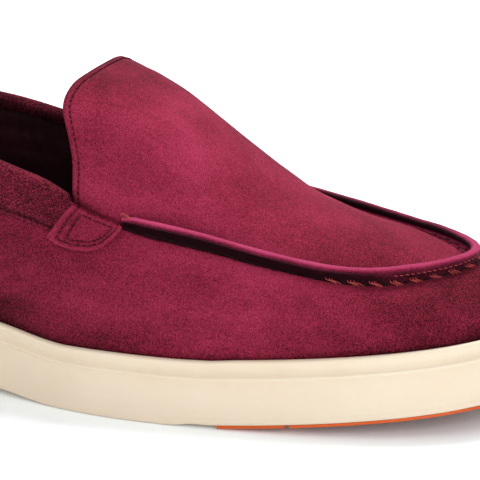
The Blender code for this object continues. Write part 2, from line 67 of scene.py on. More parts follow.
# ---- Sizes ----
LENGTH = sole_high.x - sole_low.x
CENTRE_Y = -0.0012
STATIONS = 28
HEEL_HEIGHT = 0.0236
SIDE_HEIGHTS = (
    (0.060, HEEL_HEIGHT), (0.105, 0.0240), (0.140, 0.0230), (0.160, 0.0234), (0.183, 0.0236),
    (0.205, 0.0244), (0.300, 0.0242),
)
SPRING_START, SPRING_RISE, SPRING_POWER = 0.195, 0.0102, 1.15
ARCH_START, ARCH_END, ARCH_RISE = 0.070, 0.140, 0.0026
TREAD_THICKNESS = 0.0009
CUP_BOTTOM, CUP_FLOOR = 0.0012, 0.0050
BOARD_BOTTOM = 0.0133
GAP = 0.0003
FEATHER_INSET = 0.0039
SUEDE = 0.0014
STIFFENER = 0.0015
STIFFENER_DEPTH = SUEDE + GAP
LINING_DEPTH = STIFFENER_DEPTH + STIFFENER + GAP
LINING = 0.0008
OVERLAY = 0.0012
OUTSIDE = OVERLAY + GAP
INSIDE = -(LINING_DEPTH + LINING + GAP)
BEHIND = INSIDE - OVERLAY
TONGUE_FOAM = 0.0018
APRON_INSET = 0.0030
TAB_REAR, TAB_FRONT, ROLL_START, COLLAR_FRONT = 6.62, 7.50, 7.58, 6.38
STRIP_HALF = 0.36
COLLAR_OVERLAP = 0.12
TAB_TOP = 0.0006
TAB_WIDE = 0.0185
COLLAR_STITCH_DROP = 0.0163
RIDGE_ROW_START = 12.4
TAB_ROW_INSETS = (0.0017, 0.0036)
TONGUE_SQUARENESS, TONGUE_SKEW = 4.0, 0.025
STITCH_PITCH = 0.0021
HAND_PITCH = 0.0073

SOLE_LATERAL = (
    (0.000, 0.000), (0.006, -0.0200), (0.022, -0.0335), (0.050, -0.0390),
    (0.085, -0.0412), (0.112, -0.0452), (0.136, -0.0512), (0.160, -0.0545),
    (0.185, -0.0541), (0.210, -0.0515), (0.236, -0.0468), (0.260, -0.0393),
    (0.280, -0.0277), (0.294, -0.0115), (0.300, 0.0060),
)
SOLE_MEDIAL = (
    (0.2955, 0.0225), (0.283, 0.0385), (0.262, 0.0474), (0.237, 0.0508),
    (0.210, 0.0506), (0.185, 0.0483), (0.160, 0.0448), (0.136, 0.0418),
    (0.112, 0.0398), (0.085, 0.0392), (0.050, 0.0385), (0.022, 0.0333),
    (0.006, 0.0200),
)
TOP_LATERAL = (
    (0.009, 0.000, 0.0900), (0.014, -0.0155, 0.0900), (0.027, -0.0255, 0.0898),
    (0.052, -0.0312, 0.0886), (0.082, -0.0343, 0.0862), (0.107, -0.0367, 0.0823),
    (0.129, -0.0386, 0.0765), (0.149, -0.0406, 0.0690), (0.168, -0.0409, 0.0643),
    (0.188, -0.0396, 0.0611), (0.208, -0.0377, 0.0570), (0.228, -0.0340, 0.0530),
    (0.246, -0.0267, 0.0508), (0.262, -0.0145, 0.0511), (0.2735, 0.0030, 0.0530),
)
TOP_MEDIAL = (
    (0.2640, 0.0200, 0.0534), (0.248, 0.0312, 0.0532), (0.229, 0.0368, 0.0545),
    (0.208, 0.0392, 0.0574), (0.188, 0.0402, 0.0604), (0.168, 0.0409, 0.0634),
    (0.149, 0.0406, 0.0690), (0.129, 0.0386, 0.0752), (0.107, 0.0367, 0.0808),
    (0.082, 0.0343, 0.0862), (0.052, 0.0312, 0.0886), (0.027, 0.0255, 0.0898),
    (0.014, 0.0155, 0.0900),
)
CREST = (
    (0.134, 0.1117), (0.143, 0.1099), (0.152, 0.1075), (0.160, 0.1034),
    (0.168, 0.0982), (0.184, 0.0874), (0.199, 0.0768), (0.207, 0.0722),
    (0.216, 0.0684), (0.226, 0.0650), (0.238, 0.0618), (0.250, 0.0580),
    (0.262, 0.0552), (0.274, 0.0536),
)
TAB_EDGE = (
    (6.04, 0.0202), (6.22, 0.0209), (6.46, 0.0204), (6.74, 0.0184), (7.00, 0.0148),
    (7.22, 0.0100), (7.40, 0.0055), (7.50, 0.0024),
)
ROLL_SHARES = (
    (7.5, 0.60), (7.8, 0.86), (8.3, 0.98), (11.5, 1.03), (12.7, 1.03), (13.7, 0.84), (15.0, 0.62),
    (16.2, 0.62), (17.4, 0.72), (19.6, 0.74), (20.5, 0.35),
)
TONGUE_ROWS = (
    ((0.1450, 0.0369, 0.0710), (0.1445, 0.1094)),
    ((0.1420, 0.0364, 0.0724), (0.1395, 0.1107)),
    ((0.1397, 0.0360, 0.0736), (0.1344, 0.1115)),
)


# ---- Curves and surfaces ----

def closed_curve(points):
    """A smooth closed curve through the points, one unit of parameter per point."""
    points = np.asarray(points, float)
    count = len(points)
    matrix = 4.0 * np.eye(count)
    for row in range(count):
        matrix[row, (row - 1) % count] = 1.0
        matrix[row, (row + 1) % count] = 1.0
    chords = np.roll(points, -1, axis=0) - np.roll(points, 1, axis=0)
    slopes = np.linalg.solve(matrix, 3.0 * chords)

    def at(place):
        place = np.asarray(place, float)
        start = np.floor(place).astype(int)
        t = (place - start)[..., None]
        a, b = start % count, (start + 1) % count
        return (
            (1 + 2 * t) * (1 - t) ** 2 * points[a] + t * (1 - t) ** 2 * slopes[a]
            + t * t * (3 - 2 * t) * points[b] + t * t * (t - 1) * slopes[b]
        )

    return at


def open_curve(points, count):
    """So many points on a smooth curve through the given ones, evenly by parameter."""
    points = np.asarray(points, float)
    last = len(points) - 1
    slopes = np.gradient(points, axis=0)
    place = np.linspace(0.0, last, count)
    a = np.minimum(place.astype(int), last - 1)
    t = (place - a).reshape((-1,) + (1,) * (points.ndim - 1))
    return (
        (1 + 2 * t) * (1 - t) ** 2 * points[a] + t * (1 - t) ** 2 * slopes[a]
        + t * t * (3 - 2 * t) * points[a + 1] + t * t * (t - 1) * slopes[a + 1]
    )


def smoothstep(low, high, value):
    t = np.clip((np.asarray(value, float) - low) / (high - low), 0.0, 1.0)
    return t * t * (3.0 - 2.0 * t)


def bump(value, centre, width):
    return np.exp(-((np.asarray(value, float) - centre) / width) ** 2)


def unit(vectors):
    return vectors / np.maximum(np.linalg.norm(vectors, axis=-1, keepdims=True), 1e-12)


def drift(points, size, seed):
    """A slow, even wandering from -1 to 1 over the points, with waves about that long."""
    rng = np.random.default_rng(seed)
    total = np.zeros(points.shape[:-1])
    for _ in range(7):
        way = unit(rng.normal(size=3)) * rng.uniform(0.6, 1.5) * 2.0 * math.pi / size
        total += np.sin(points @ way + rng.uniform(0.0, 6.28))
    return total / 4.0


outline = closed_curve(SOLE_LATERAL + SOLE_MEDIAL)
top_edge = closed_curve(TOP_LATERAL + TOP_MEDIAL)


def plan_normal(curve, place):
    along = curve(np.asarray(place) + 0.02)[..., :2] - curve(np.asarray(place) - 0.02)[..., :2]
    along = unit(along)
    return np.stack([along[..., 1], -along[..., 0]], axis=-1)


def outline_point(place, inset):
    inset = np.asarray(inset, float)[..., None]
    return outline(place)[..., :2] - inset * plan_normal(outline, place)


def lift(x):
    ahead = np.maximum(x - SPRING_START, 0.0) / (LENGTH - SPRING_START)
    waist = np.clip((x - ARCH_START) / (ARCH_END - ARCH_START), 0.0, 1.0)
    return SPRING_RISE * ahead ** SPRING_POWER + ARCH_RISE * np.sin(math.pi * waist) ** 2


def tread_recess(x):
    clear = smoothstep(0.066, 0.076, x) * (1.0 - smoothstep(0.181, 0.191, x))
    return CUP_BOTTOM * (1.0 - clear)


def sole_height(x):
    return np.interp(x, *zip(*SIDE_HEIGHTS))


def toe_share(place):
    place = np.asarray(place) % STATIONS
    return smoothstep(4.0, 9.0, np.minimum(place, STATIONS - place))


def wall_point(place, level):
    """A point of the suede wall: level 0 at the sole's lip, 1 at the top edge."""
    place, level = np.broadcast_arrays(np.asarray(place, float), np.asarray(level, float))
    flat = outline_point(place, FEATHER_INSET)
    rest = lift(flat[..., 0])
    lip = sole_height(flat[..., 0]) + rest
    foot = np.concatenate([flat, lip[..., None]], axis=-1)
    head = top_edge(place)
    rise = head[..., 2] - lip
    toe = toe_share(place)
    low, high = foot.copy(), head.copy()
    low[..., 2] += 0.42 * rise
    low[..., :2] += (0.0024 - 0.0010 * toe)[..., None] * plan_normal(outline, place)
    high[..., 2] -= (0.30 - 0.20 * toe) * rise
    high[..., :2] += (0.48 + 0.04 * toe)[..., None] * (foot - head)[..., :2]
    t = np.maximum(level, 0.0)[..., None]
    point = (
        (1 - t) ** 3 * foot + 3 * t * (1 - t) ** 2 * low
        + 3 * t * t * (1 - t) * high + t ** 3 * head
    )
    point[..., 2] += (lip - BOARD_BOTTOM - rest) * np.minimum(level, 0.0)
    return point


def wall_normal(place, level):
    place, level = np.broadcast_arrays(np.asarray(place, float), np.asarray(level, float))
    at = np.clip(level, 0.0, 0.995)
    along = wall_point(place + 0.03, at) - wall_point(place - 0.03, at)
    up = wall_point(place, at + 0.005) - wall_point(place, np.maximum(at - 0.01, 0.0))
    normal = unit(np.cross(along, up))
    flat = plan_normal(outline, place)
    flat = np.concatenate([flat, np.zeros(flat.shape[:-1] + (1,))], axis=-1)
    return np.where((level < 0.0)[..., None], flat, normal)


def skin(place, level, height):
    height = np.asarray(height, float)[..., None]
    return wall_point(place, level) + height * wall_normal(place, level)


def wall_length(place):
    place = np.asarray(place, float)
    points = np.stack([wall_point(place, level) for level in np.linspace(0.0, 1.0, 9)])
    return np.linalg.norm(np.diff(points, axis=0), axis=-1).sum(axis=0)


def below_top(place, drop, height):
    """A point at a distance down the wall from its top edge; negative is above it."""
    place, drop, height = np.broadcast_arrays(
        np.asarray(place, float), np.asarray(drop, float), np.asarray(height, float)
    )
    level = 1.0 - np.maximum(drop, 0.0) / wall_length(place)
    up = unit(wall_point(place, 1.0) - wall_point(place, 0.97))
    return skin(place, level, height) - np.minimum(drop, 0.0)[..., None] * up


def spread(start, end, spacing):
    """Places between two stations, close enough together for a smooth surface."""
    return np.linspace(start, end, max(int((end - start) / spacing) + 1, 3))


def apron_rows(count):
    """Rows across apron and tongue: lateral edge, middle and medial edge, then shape."""
    rows = []
    half = STATIONS / 2.0
    for offset in [0.15] + [0.5 * step for step in range(1, 15)]:
        edges = []
        for place in (half - offset, half + offset):
            head = top_edge(place)
            flat = head[:2] - APRON_INSET * plan_normal(top_edge, place)
            edges.append([flat[0], flat[1], head[2] + 0.0002])
        lateral, medial = np.array(edges)
        middle = (lateral + medial) / 2.0
        rise = smoothstep(0.0, 2.0, offset)
        crest = np.interp(middle[0], *zip(*CREST))
        middle[2] = (1.0 - rise) * (lateral[2] + 0.0004) + rise * crest
        rows.append([*lateral, *middle, *medial, smoothstep(3.0, 9.5, offset)])
    for index, (edge, middle) in enumerate(TONGUE_ROWS):
        shape = smoothstep(3.0, 9.5, 7.4 + 0.5 * index)
        rows.append([edge[0], -edge[1], edge[2], middle[0], 0.0, middle[1], *edge, shape])
    return open_curve(rows, count)


def arch(row, across):
    """Points on the arch over a row, from -1 at the lateral edge to 1 at the medial."""
    lateral, middle, medial, shape = row[0:3], row[3:6], row[6:9], row[9]
    edge = np.where((across < 0.0)[:, None], lateral, medial)
    reach = math.radians(40.0 + 35.0 * shape)
    turn = np.abs(across) * reach
    out = np.sin(turn) / math.sin(reach)
    down = (1.0 - np.cos(turn)) / (1.0 - math.cos(reach))
    quarter = np.abs(across) * math.pi / 2.0
    power = TONGUE_SQUARENESS
    radius = (np.sin(quarter) ** power + np.cos(quarter) ** power) ** (-1.0 / power)
    out = out + shape * (radius * np.sin(quarter) - out)
    down = down + shape * (1.0 - radius * np.cos(quarter) - down)
    point = middle + (edge - middle) * np.stack([down, out, down], axis=1)
    back = 1.0 - smoothstep(0.134, 0.160, middle[0])
    point[:, 0] += back * (1.0 - down) * TONGUE_SKEW * point[:, 1]
    return point


def surface_normals(points):
    normals = unit(np.cross(np.gradient(points, axis=0), np.gradient(points, axis=1)))
    if normals[len(points) // 2, points.shape[1] // 2, 2] < 0.0:
        normals = -normals
    return normals


# ---- Meshes ----

SHARP_DEGREES = 62
RIM_STEPS = 3


def make(name, vertices, faces, material, nodes=(), shade=None, body="root"):
    """A piece in the row frame that rides on a body and stands for the named nodes."""
    vertices = np.asarray(vertices, float) - (LENGTH / 2.0, CENTRE_Y, 0.0)
    mesh = bpy.data.meshes.new(name)
    mesh.from_pydata(vertices.tolist(), [], faces)
    mesh.validate()
    mesh.materials.append(material)
    mesh.shade_smooth()
    mesh.set_sharp_from_angle(angle=math.radians(SHARP_DEGREES))
    values = np.zeros(len(vertices)) if shade is None else np.asarray(shade, float)
    mesh.attributes.new("shade", "FLOAT", "POINT").data.foreach_set("value", values)
    piece = bpy.data.objects.new(name, mesh)
    bpy.context.scene.collection.objects.link(piece)
    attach(piece, body)
    if nodes:
        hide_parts(*nodes)
    return piece


def border_of(rows, columns):
    """Indices round a grid's edge, and of the point one step inwards from each."""
    loop = [(0, column) for column in range(columns)]
    loop += [(row, columns - 1) for row in range(1, rows)]
    loop += [(rows - 1, column) for column in range(columns - 2, -1, -1)]
    loop += [(row, 0) for row in range(rows - 2, 0, -1)]
    inside = [
        (min(max(row, 1), rows - 2), min(max(column, 1), columns - 2)) for row, column in loop
    ]
    return np.array(loop), np.array(inside)


def shell(name, outer, inner, material, nodes=(), shade=None, bulge=0.4):
    """A sheet with thickness between two grids, its edge rounded."""
    rows, columns = outer.shape[:2]
    shade = np.zeros((rows, columns)) if shade is None else shade
    loop, inside = border_of(rows, columns)
    here = outer[loop[:, 0], loop[:, 1]]
    there = inner[loop[:, 0], loop[:, 1]]
    away = unit(here - outer[inside[:, 0], inside[:, 1]])
    centre, half = (here + there) / 2.0, (here - there) / 2.0
    depth = np.linalg.norm(half, axis=1, keepdims=True) * 2.0 * bulge
    vertices = [outer.reshape(-1, 3), inner.reshape(-1, 3)]
    values = [shade.reshape(-1), np.zeros(rows * columns)]
    edge_shade = shade[loop[:, 0], loop[:, 1]]
    for step in range(1, RIM_STEPS + 1):
        turn = math.pi * step / (RIM_STEPS + 1)
        vertices.append(centre + math.cos(turn) * half + math.sin(turn) * depth * away)
        values.append(edge_shade)
    index = np.arange(rows * columns).reshape(rows, columns)
    a, b = index[:-1, :-1], index[:-1, 1:]
    c, d = index[1:, 1:], index[1:, :-1]
    back = rows * columns
    front = np.stack([a, d, c, b], axis=-1).reshape(-1, 4)
    behind = np.stack([a, b, c, d], axis=-1).reshape(-1, 4) + back
    faces = [front, behind]
    flat = loop[:, 0] * columns + loop[:, 1]
    ring = 2 * back + np.arange(len(flat))
    rings = [flat] + [ring + len(flat) * step for step in range(RIM_STEPS)] + [flat + back]
    for near, far in zip(rings, rings[1:]):
        faces.append(np.stack([near, np.roll(near, -1), np.roll(far, -1), far], axis=-1))
    faces = np.concatenate(faces)
    row, column = rows // 2, columns // 2
    middle = outer[row, column]
    side = np.cross(outer[row, column + 1] - middle, outer[row + 1, column] - middle)
    if np.dot(side, middle - inner[row, column]) >= 0.0:
        faces = faces[:, ::-1]
    values = np.concatenate(values)
    return make(name, np.concatenate(vertices), faces.tolist(), material, nodes, values)


def tube(name, sections, material, nodes, shade):
    """A bar whose closed cross-sections are given in order, with a flat fan at each end."""
    sections = np.asarray(sections, float)
    rows, count = sections.shape[:2]
    shade = np.broadcast_to(shade, (rows, count))
    index = np.arange(rows * count).reshape(rows, count)
    here, after = index[:-1], index[1:]
    faces = np.stack([here, np.roll(here, -1, axis=1), np.roll(after, -1, axis=1), after], axis=-1)
    faces = faces.reshape(-1, 4).tolist()
    vertices = [sections.reshape(-1, 3)]
    values = [shade.reshape(-1)]
    for end, (row, turn) in enumerate(((0, 1), (rows - 1, -1))):
        vertices.append(sections[row].mean(axis=0)[None])
        values.append(shade[row, :1])
        ring = index[row][::turn]
        for one, two in zip(ring, np.roll(ring, -1)):
            faces.append([int(two), int(one), rows * count + end])
    vertices = np.concatenate(vertices)
    # The sense of the middle ring decides, so that the faces of every bar turn the same way
    centre = sections[rows // 2].mean(axis=0)
    ahead = sections[rows // 2 + 1].mean(axis=0) - centre
    ring = sections[rows // 2] - centre
    spin = np.cross(ring, np.roll(ring, -1, axis=0)).sum(axis=0)
    if np.dot(spin, ahead) > 0.0:
        faces = [face[::-1] for face in faces]
    return make(name, vertices, faces, material, nodes, np.concatenate(values))


def slab(name, inset, low, high, material, nodes, crown=0.0):
    """A flat layer of the sole with rounded edges, bent with the sole."""
    place = np.linspace(0.18, 13.82, 110)
    left = outline_point(place, inset)
    right = outline_point(STATIONS - place, inset)
    share = (1.0 - np.cos(np.linspace(0.0, math.pi, 28))) / 2.0
    flat = left[:, None] + (right - left)[:, None] * share[None, :, None]
    rest = lift(flat[..., 0])
    swell = crown * np.sin(math.pi * share)[None, :] ** 0.5 * np.ones_like(rest)
    outer = np.concatenate([flat, (rest + high + swell)[..., None]], axis=-1)
    inner = np.concatenate([flat, (rest + low)[..., None]], axis=-1)
    return shell(name, outer, inner, material, nodes, bulge=0.35)


def wall_band(name, start, end, low, high, height, thickness, material, nodes,
              spacing=0.09, rows=30, relief=None, shade=None):
    """A layer of the wall between two stations and two levels."""
    place = spread(start, end, spacing)[:, None]
    level = np.linspace(low, high, rows)[None, :]
    raised = 0.0 if relief is None else relief(place, level)
    outer = skin(place, level, height + raised)
    inner = skin(place, level, height - thickness + raised)
    tone = None if shade is None else shade(place, level) * np.ones(outer.shape[:2])
    return shell(name, outer, inner, material, nodes, tone)


# ---- Materials ----

class Nodes:
    """Short ways to add the shader nodes that the materials below are made of.

    All colours are multiplied by depth, since the lamps are set bright for the white floor.
    """

    def __init__(self, name, depth=0.8):
        self.depth = depth
        self.material = bpy.data.materials.new(name)
        self.material.use_nodes = True
        self.tree = self.material.node_tree
        self.shader = self.tree.nodes["Principled BSDF"]
        self.place = self.tree.nodes.new("ShaderNodeTexCoord").outputs["Object"]

    def link(self, source, target):
        self.tree.links.new(source, target)

    def stretched(self, scale, turn=(0.0, 0.0, 0.0)):
        node = self.tree.nodes.new("ShaderNodeMapping")
        node.inputs["Scale"].default_value = scale
        node.inputs["Rotation"].default_value = turn
        self.link(self.place, node.inputs["Vector"])
        return node.outputs["Vector"]

    def noise(self, scale, detail=2.0, roughness=0.5, distortion=0.0, vector=None):
        node = self.tree.nodes.new("ShaderNodeTexNoise")
        node.inputs["Scale"].default_value = scale
        node.inputs["Detail"].default_value = detail
        node.inputs["Roughness"].default_value = roughness
        node.inputs["Distortion"].default_value = distortion
        self.link(vector or self.place, node.inputs["Vector"])
        return node.outputs["Fac"]

    def cells(self, scale, vector=None):
        node = self.tree.nodes.new("ShaderNodeTexVoronoi")
        node.inputs["Scale"].default_value = scale
        self.link(vector or self.place, node.inputs["Vector"])
        return node.outputs["Distance"]

    def attribute(self, name):
        node = self.tree.nodes.new("ShaderNodeAttribute")
        node.attribute_name = name
        return node.outputs["Fac"]

    def math(self, kind, a, b, clamp=False):
        node = self.tree.nodes.new("ShaderNodeMath")
        node.operation = kind
        node.use_clamp = clamp
        for value, socket in zip((a, b), node.inputs):
            if isinstance(value, (int, float)):
                socket.default_value = value
            else:
                self.link(value, socket)
        return node.outputs["Value"]

    def weighted(self, base, *terms):
        """base plus each (source, weight), a source of 0.5 adding nothing."""
        total = None
        for source, weight in terms:
            term = self.math("MULTIPLY", self.math("SUBTRACT", source, 0.5), weight)
            total = self.math("ADD", term, base if total is None else total)
        return total

    def ramp(self, value, *stops):
        node = self.tree.nodes.new("ShaderNodeValToRGB")
        ramp = node.color_ramp
        while len(ramp.elements) < len(stops):
            ramp.elements.new(0.5)
        for element, (place, colour) in zip(ramp.elements, stops):
            element.position = place
            element.color = (*(self.depth * part for part in colour), 1.0)
        self.link(value, node.inputs["Fac"])
        return node.outputs["Color"]

    def bump(self, height, strength, distance, below=None):
        node = self.tree.nodes.new("ShaderNodeBump")
        node.inputs["Strength"].default_value = strength
        node.inputs["Distance"].default_value = distance
        self.link(height, node.inputs["Height"])
        if below is not None:
            self.link(below, node.inputs["Normal"])
        return node.outputs["Normal"]

    def finish(self, colour, roughness, normal=None, **settings):
        self.link(colour, self.shader.inputs["Base Color"])
        if isinstance(roughness, (int, float)):
            self.shader.inputs["Roughness"].default_value = roughness
        else:
            self.link(roughness, self.shader.inputs["Roughness"])
        if normal is not None:
            self.link(normal, self.shader.inputs["Normal"])
        for name, value in settings.items():
            self.shader.inputs[name.replace("_", " ")].default_value = value
        return self.material


def suede(name, dark, middle, light, grain=1.0, coarse=1.0, sheen=0.10,
          sheen_tint=(1.0, 0.30, 0.45)):
    """Napped suede: brushed patches, mottling and a fine speckle of fibre ends."""
    n = Nodes(name)
    nap_and_painted_light = n.noise(24.0, 3.0, 0.5, 0.8, n.stretched((0.8, 1.0, 1.3), (0.0, 0.35, 0.2)))
    strokes = n.noise(90.0, 4.0, 0.6, 0.6, n.stretched((0.45, 1.0, 1.3), (0.0, 0.5, 0.0)))
    mottle = n.noise(420.0 / coarse, 4.0, 0.65)
    specks = n.noise(1500.0 / coarse, 3.0, 0.75)
    fibres = n.noise(3000.0 / coarse, 2.0, 0.7)
    tone = n.weighted(0.5, (nap_and_painted_light, 0.55), (strokes, 0.34), (mottle, 0.20 * grain),
                      (specks, 1.00 * grain), (fibres, 1.00 * grain))
    tone = n.math("ADD", tone, n.attribute("shade"), clamp=True)
    colour = n.ramp(tone, (0.0, tuple(0.12 * part for part in dark)), (0.24, dark), (0.5, middle),
                    (0.78, light), (1.0, tuple(min(1.15 * part, 1.0) for part in light)))
    roughness = n.weighted(0.90, (mottle, 0.16), (specks, 0.12))
    normal = n.bump(specks, 0.45 * grain, 0.00050 * coarse)
    normal = n.bump(fibres, 0.35 * grain, 0.00025 * coarse, normal)
    normal = n.bump(mottle, 0.20, 0.0006, normal)
    return n.finish(colour, roughness, normal, Sheen_Weight=sheen, Sheen_Roughness=0.38,
                    Sheen_Tint=(*sheen_tint, 1.0), Specular_IOR_Level=0.08)


def rubber(name, dark, middle, light, roughness, glow=0.0):
    """Moulded rubber: nearly even, with slight flow marks, scuffs and a fine mould grain."""
    n = Nodes(name)
    flow = n.noise(14.0, 3.0, 0.5, 0.5, n.stretched((0.5, 1.0, 1.8)))
    cloud = n.noise(60.0, 4.0, 0.55)
    grain = n.noise(1700.0, 3.0, 0.6)
    scuffs = n.noise(240.0, 5.0, 0.75, 0.4, n.stretched((0.35, 0.8, 2.2)))
    tone = n.weighted(0.5, (flow, 0.55), (cloud, 0.35), (grain, 0.12), (scuffs, 0.12))
    tone = n.math("ADD", tone, n.attribute("shade"), clamp=True)
    deepest = tuple(0.72 * part for part in dark)
    colour = n.ramp(tone, (0.0, deepest), (0.2, dark), (0.5, middle), (0.85, light))
    rough = n.weighted(roughness, (cloud, 0.10), (scuffs, 0.16), (grain, 0.08))
    normal = n.bump(grain, 0.10, 0.00012)
    normal = n.bump(scuffs, 0.06, 0.0002, normal)
    return n.finish(colour, rough, normal, Subsurface_Weight=glow, Subsurface_Scale=0.002,
                    Specular_IOR_Level=0.42)


def smooth_leather(name, dark, middle, light, roughness=0.5):
    """Lining leather with fine pores and shallow wrinkles."""
    n = Nodes(name)
    cloud = n.noise(40.0, 3.0, 0.5, 0.6)
    pores = n.cells(1500.0)
    wrinkle = n.noise(260.0, 5.0, 0.7, 1.2, n.stretched((1.6, 1.0, 0.6)))
    tone = n.weighted(0.5, (cloud, 0.6), (wrinkle, 0.5))
    tone = n.math("ADD", tone, n.attribute("shade"), clamp=True)
    colour = n.ramp(tone, (0.1, dark), (0.5, middle), (0.9, light))
    rough = n.weighted(roughness, (wrinkle, 0.25), (cloud, 0.1))
    normal = n.bump(pores, 0.25, 0.0002)
    normal = n.bump(wrinkle, 0.35, 0.0005, normal)
    return n.finish(colour, rough, normal, Specular_IOR_Level=0.2)


def thread(name, dark, middle, light):
    """Waxed polyester thread, its plies twisting round it."""
    n = Nodes(name)
    plies = n.noise(2600.0, 2.0, 0.6, 0.8, n.stretched((1.0, 0.4, 1.4), (0.4, 0.6, 0.3)))
    dirt = n.noise(500.0, 3.0, 0.6)
    tone = n.weighted(0.5, (plies, 0.9), (dirt, 0.5))
    tone = n.math("ADD", tone, n.attribute("shade"), clamp=True)
    colour = n.ramp(tone, (0.15, dark), (0.5, middle), (0.85, light))
    normal = n.bump(plies, 0.6, 0.00015)
    return n.finish(colour, 0.75, normal, Specular_IOR_Level=0.12)


def foam(name, dark, middle, light):
    """Open-cell foam."""
    n = Nodes(name)
    bubbles = n.cells(1100.0)
    cloud = n.noise(90.0, 3.0)
    tone = n.weighted(0.5, (bubbles, 1.1), (cloud, 0.4))
    colour = n.ramp(tone, (0.1, dark), (0.5, middle), (0.9, light))
    return n.finish(colour, 0.95, n.bump(bubbles, 0.7, 0.0006))


def fibre(name, dark, middle, light):
    """Pressed fibre: board, felt or stiffened sheet with stray strands."""
    n = Nodes(name)
    strands = n.noise(420.0, 6.0, 0.8, 2.5, n.stretched((0.5, 1.6, 1.0), (0.0, 0.0, 0.6)))
    cloud = n.noise(70.0, 3.0)
    tone = n.weighted(0.5, (strands, 1.0), (cloud, 0.4))
    colour = n.ramp(tone, (0.1, dark), (0.5, middle), (0.9, light))
    return n.finish(colour, 0.9, n.bump(strands, 0.4, 0.0004))


SUEDE_MAIN = suede("suede", (0.140, 0.0080, 0.020), (0.300, 0.0190, 0.053), (0.450, 0.0390, 0.102))
# The ridge's own copy of the suede: its lighter stops lilac, a painted highlight for the top of the
# bead
SUEDE_RIDGE = suede("suede_ridge", (0.120, 0.0080, 0.024), (0.300, 0.0210, 0.066),
                    (0.460, 0.0500, 0.140), grain=0.6, sheen=0.10, sheen_tint=(1.0, 0.45, 0.85))
SUEDE_COLLAR = suede("suede_collar", (0.034, 0.0018, 0.005), (0.082, 0.0046, 0.013),
                     (0.290, 0.0230, 0.054), grain=1.35, coarse=1.2, sheen=0.05)
CREAM = rubber("cream_rubber", (0.81, 0.645, 0.465), (0.925, 0.762, 0.58), (0.97, 0.835, 0.675),
               0.5, glow=0.05)
ORANGE = rubber("orange_rubber", (0.30, 0.036, 0.003), (0.80, 0.110, 0.004), (0.92, 0.16, 0.012), 0.5)
LINING_LEATHER = smooth_leather("lining_leather", (0.004, 0.0014, 0.002), (0.020, 0.0026, 0.0055),
                                (0.070, 0.0080, 0.016))
SALMON = thread("salmon_thread", (0.18, 0.014, 0.017), (0.50, 0.068, 0.064), (0.70, 0.170, 0.145))
# Dark burgundy thread, made near black as painted shade for the sunken stitches; its lightest stop
# gives small painted glints
BURGUNDY_AND_SHADE = thread("burgundy_thread_and_shade", (0.010, 0.0012, 0.003), (0.034, 0.0030, 0.007),
                  (0.360, 0.0550, 0.055))
# The awl holes: near black, painted shade inside the holes
HOLE = smooth_leather("awl_hole", (0.002, 0.0008, 0.001), (0.006, 0.0014, 0.0022),
                      (0.012, 0.002, 0.004), 0.9)
FOAM = foam("pad_foam", (0.16, 0.155, 0.15), (0.32, 0.31, 0.30), (0.46, 0.45, 0.43))
BOARD = fibre("insole_fibre", (0.28, 0.19, 0.10), (0.45, 0.33, 0.20), (0.58, 0.46, 0.31))
FELT = fibre("felt", (0.18, 0.175, 0.17), (0.32, 0.31, 0.30), (0.48, 0.47, 0.45))
SHEET = fibre("stiff_sheet", (0.42, 0.40, 0.37), (0.60, 0.58, 0.54), (0.72, 0.70, 0.66))


# ---- Sole ----

def cup_profile():
    """The side of the cup as (inset, height): rim, wall, bead, hollow band and lip."""
    shape = (
        (0.0014, 0.0000), (0.0007, 0.0000), (0.0002, 0.0002), (0.0000, 0.0007), (0.0000, 0.0018),
        (0.0001, 0.0028), (0.0002, 0.0036), (0.0002, 0.0050), (0.0001, 0.0070), (0.0001, 0.0095),
        (0.0002, 0.0120), (0.0004, 0.0145), (0.0007, 0.0162), (0.0008, 0.0167), (0.0006, 0.0171),
        (0.0003, 0.0175), (0.0005, 0.0179), (0.0009, 0.0183), (0.0013, 0.0190), (0.0015, 0.0200),
        (0.0014, 0.0210), (0.0012, 0.0219), (0.0011, 0.0226), (0.0013, 0.0232), (0.0020, 0.0236),
        (0.0029, 0.0236), (0.0036, 0.0231), (0.0036, 0.0200),
    )
    return open_curve(shape, 96)


def cup_side():
    """The cup's side all round: rings of points along its profile, and the tone of each."""
    profile = cup_profile()
    place = np.linspace(0.0, STATIONS, 421)[:-1][:, None]
    inset, level = profile[:, 0][None], profile[:, 1][None]
    flat = outline_point(place, inset * np.ones_like(place))
    x = flat[..., 0]
    foot = tread_recess(x) * (1.0 - smoothstep(0.001, 0.004, level))
    height = lift(x) + level * sole_height(x) / HEEL_HEIGHT + foot
    side = np.concatenate([flat, height[..., None]], axis=-1)
    # Painted light: a painted highlight along the bead, painted shade in the hollow above it, and the
    # band up to the lip painted lighter
    tone = 0.22 * bump(level, 0.0175, 0.0005) - 0.08 * bump(level, 0.0190, 0.0014)
    tone = tone + 0.06 * smoothstep(0.0205, 0.0225, level)
    return side, np.broadcast_to(tone, side.shape[:2])


def cup_sheet(side, index, column, height, start):
    """The sheet that closes the cup across one column of its side, and its faces."""
    rings = len(side)
    half = rings // 2
    steps = np.arange(1, half)
    left, right = side[steps, column], side[rings - steps, column]
    share = np.linspace(0.0, 1.0, 22)[1:-1]
    inner = left[:, None] + (right - left)[:, None] * share[None, :, None]
    if height is not None:
        inner[..., 2] = lift(inner[..., 0]) + height
    count = inner.shape[0] * inner.shape[1]
    grid = np.arange(count).reshape(inner.shape[:2]) + start
    lateral, medial = index[steps, column][:, None], index[rings - steps, column][:, None]
    grid = np.concatenate([lateral, grid, medial], axis=1)
    quads = np.stack([grid[:-1, :-1], grid[1:, :-1], grid[1:, 1:], grid[:-1, 1:]], axis=-1)
    faces = quads.reshape(-1, 4).tolist()
    heel, toe = int(index[0, column]), int(index[half, column])
    faces += [[heel, int(one), int(two)] for one, two in zip(grid[0], grid[0][1:])]
    faces += [[int(two), int(one), toe] for one, two in zip(grid[-1], grid[-1][1:])]
    return inner.reshape(-1, 3), faces


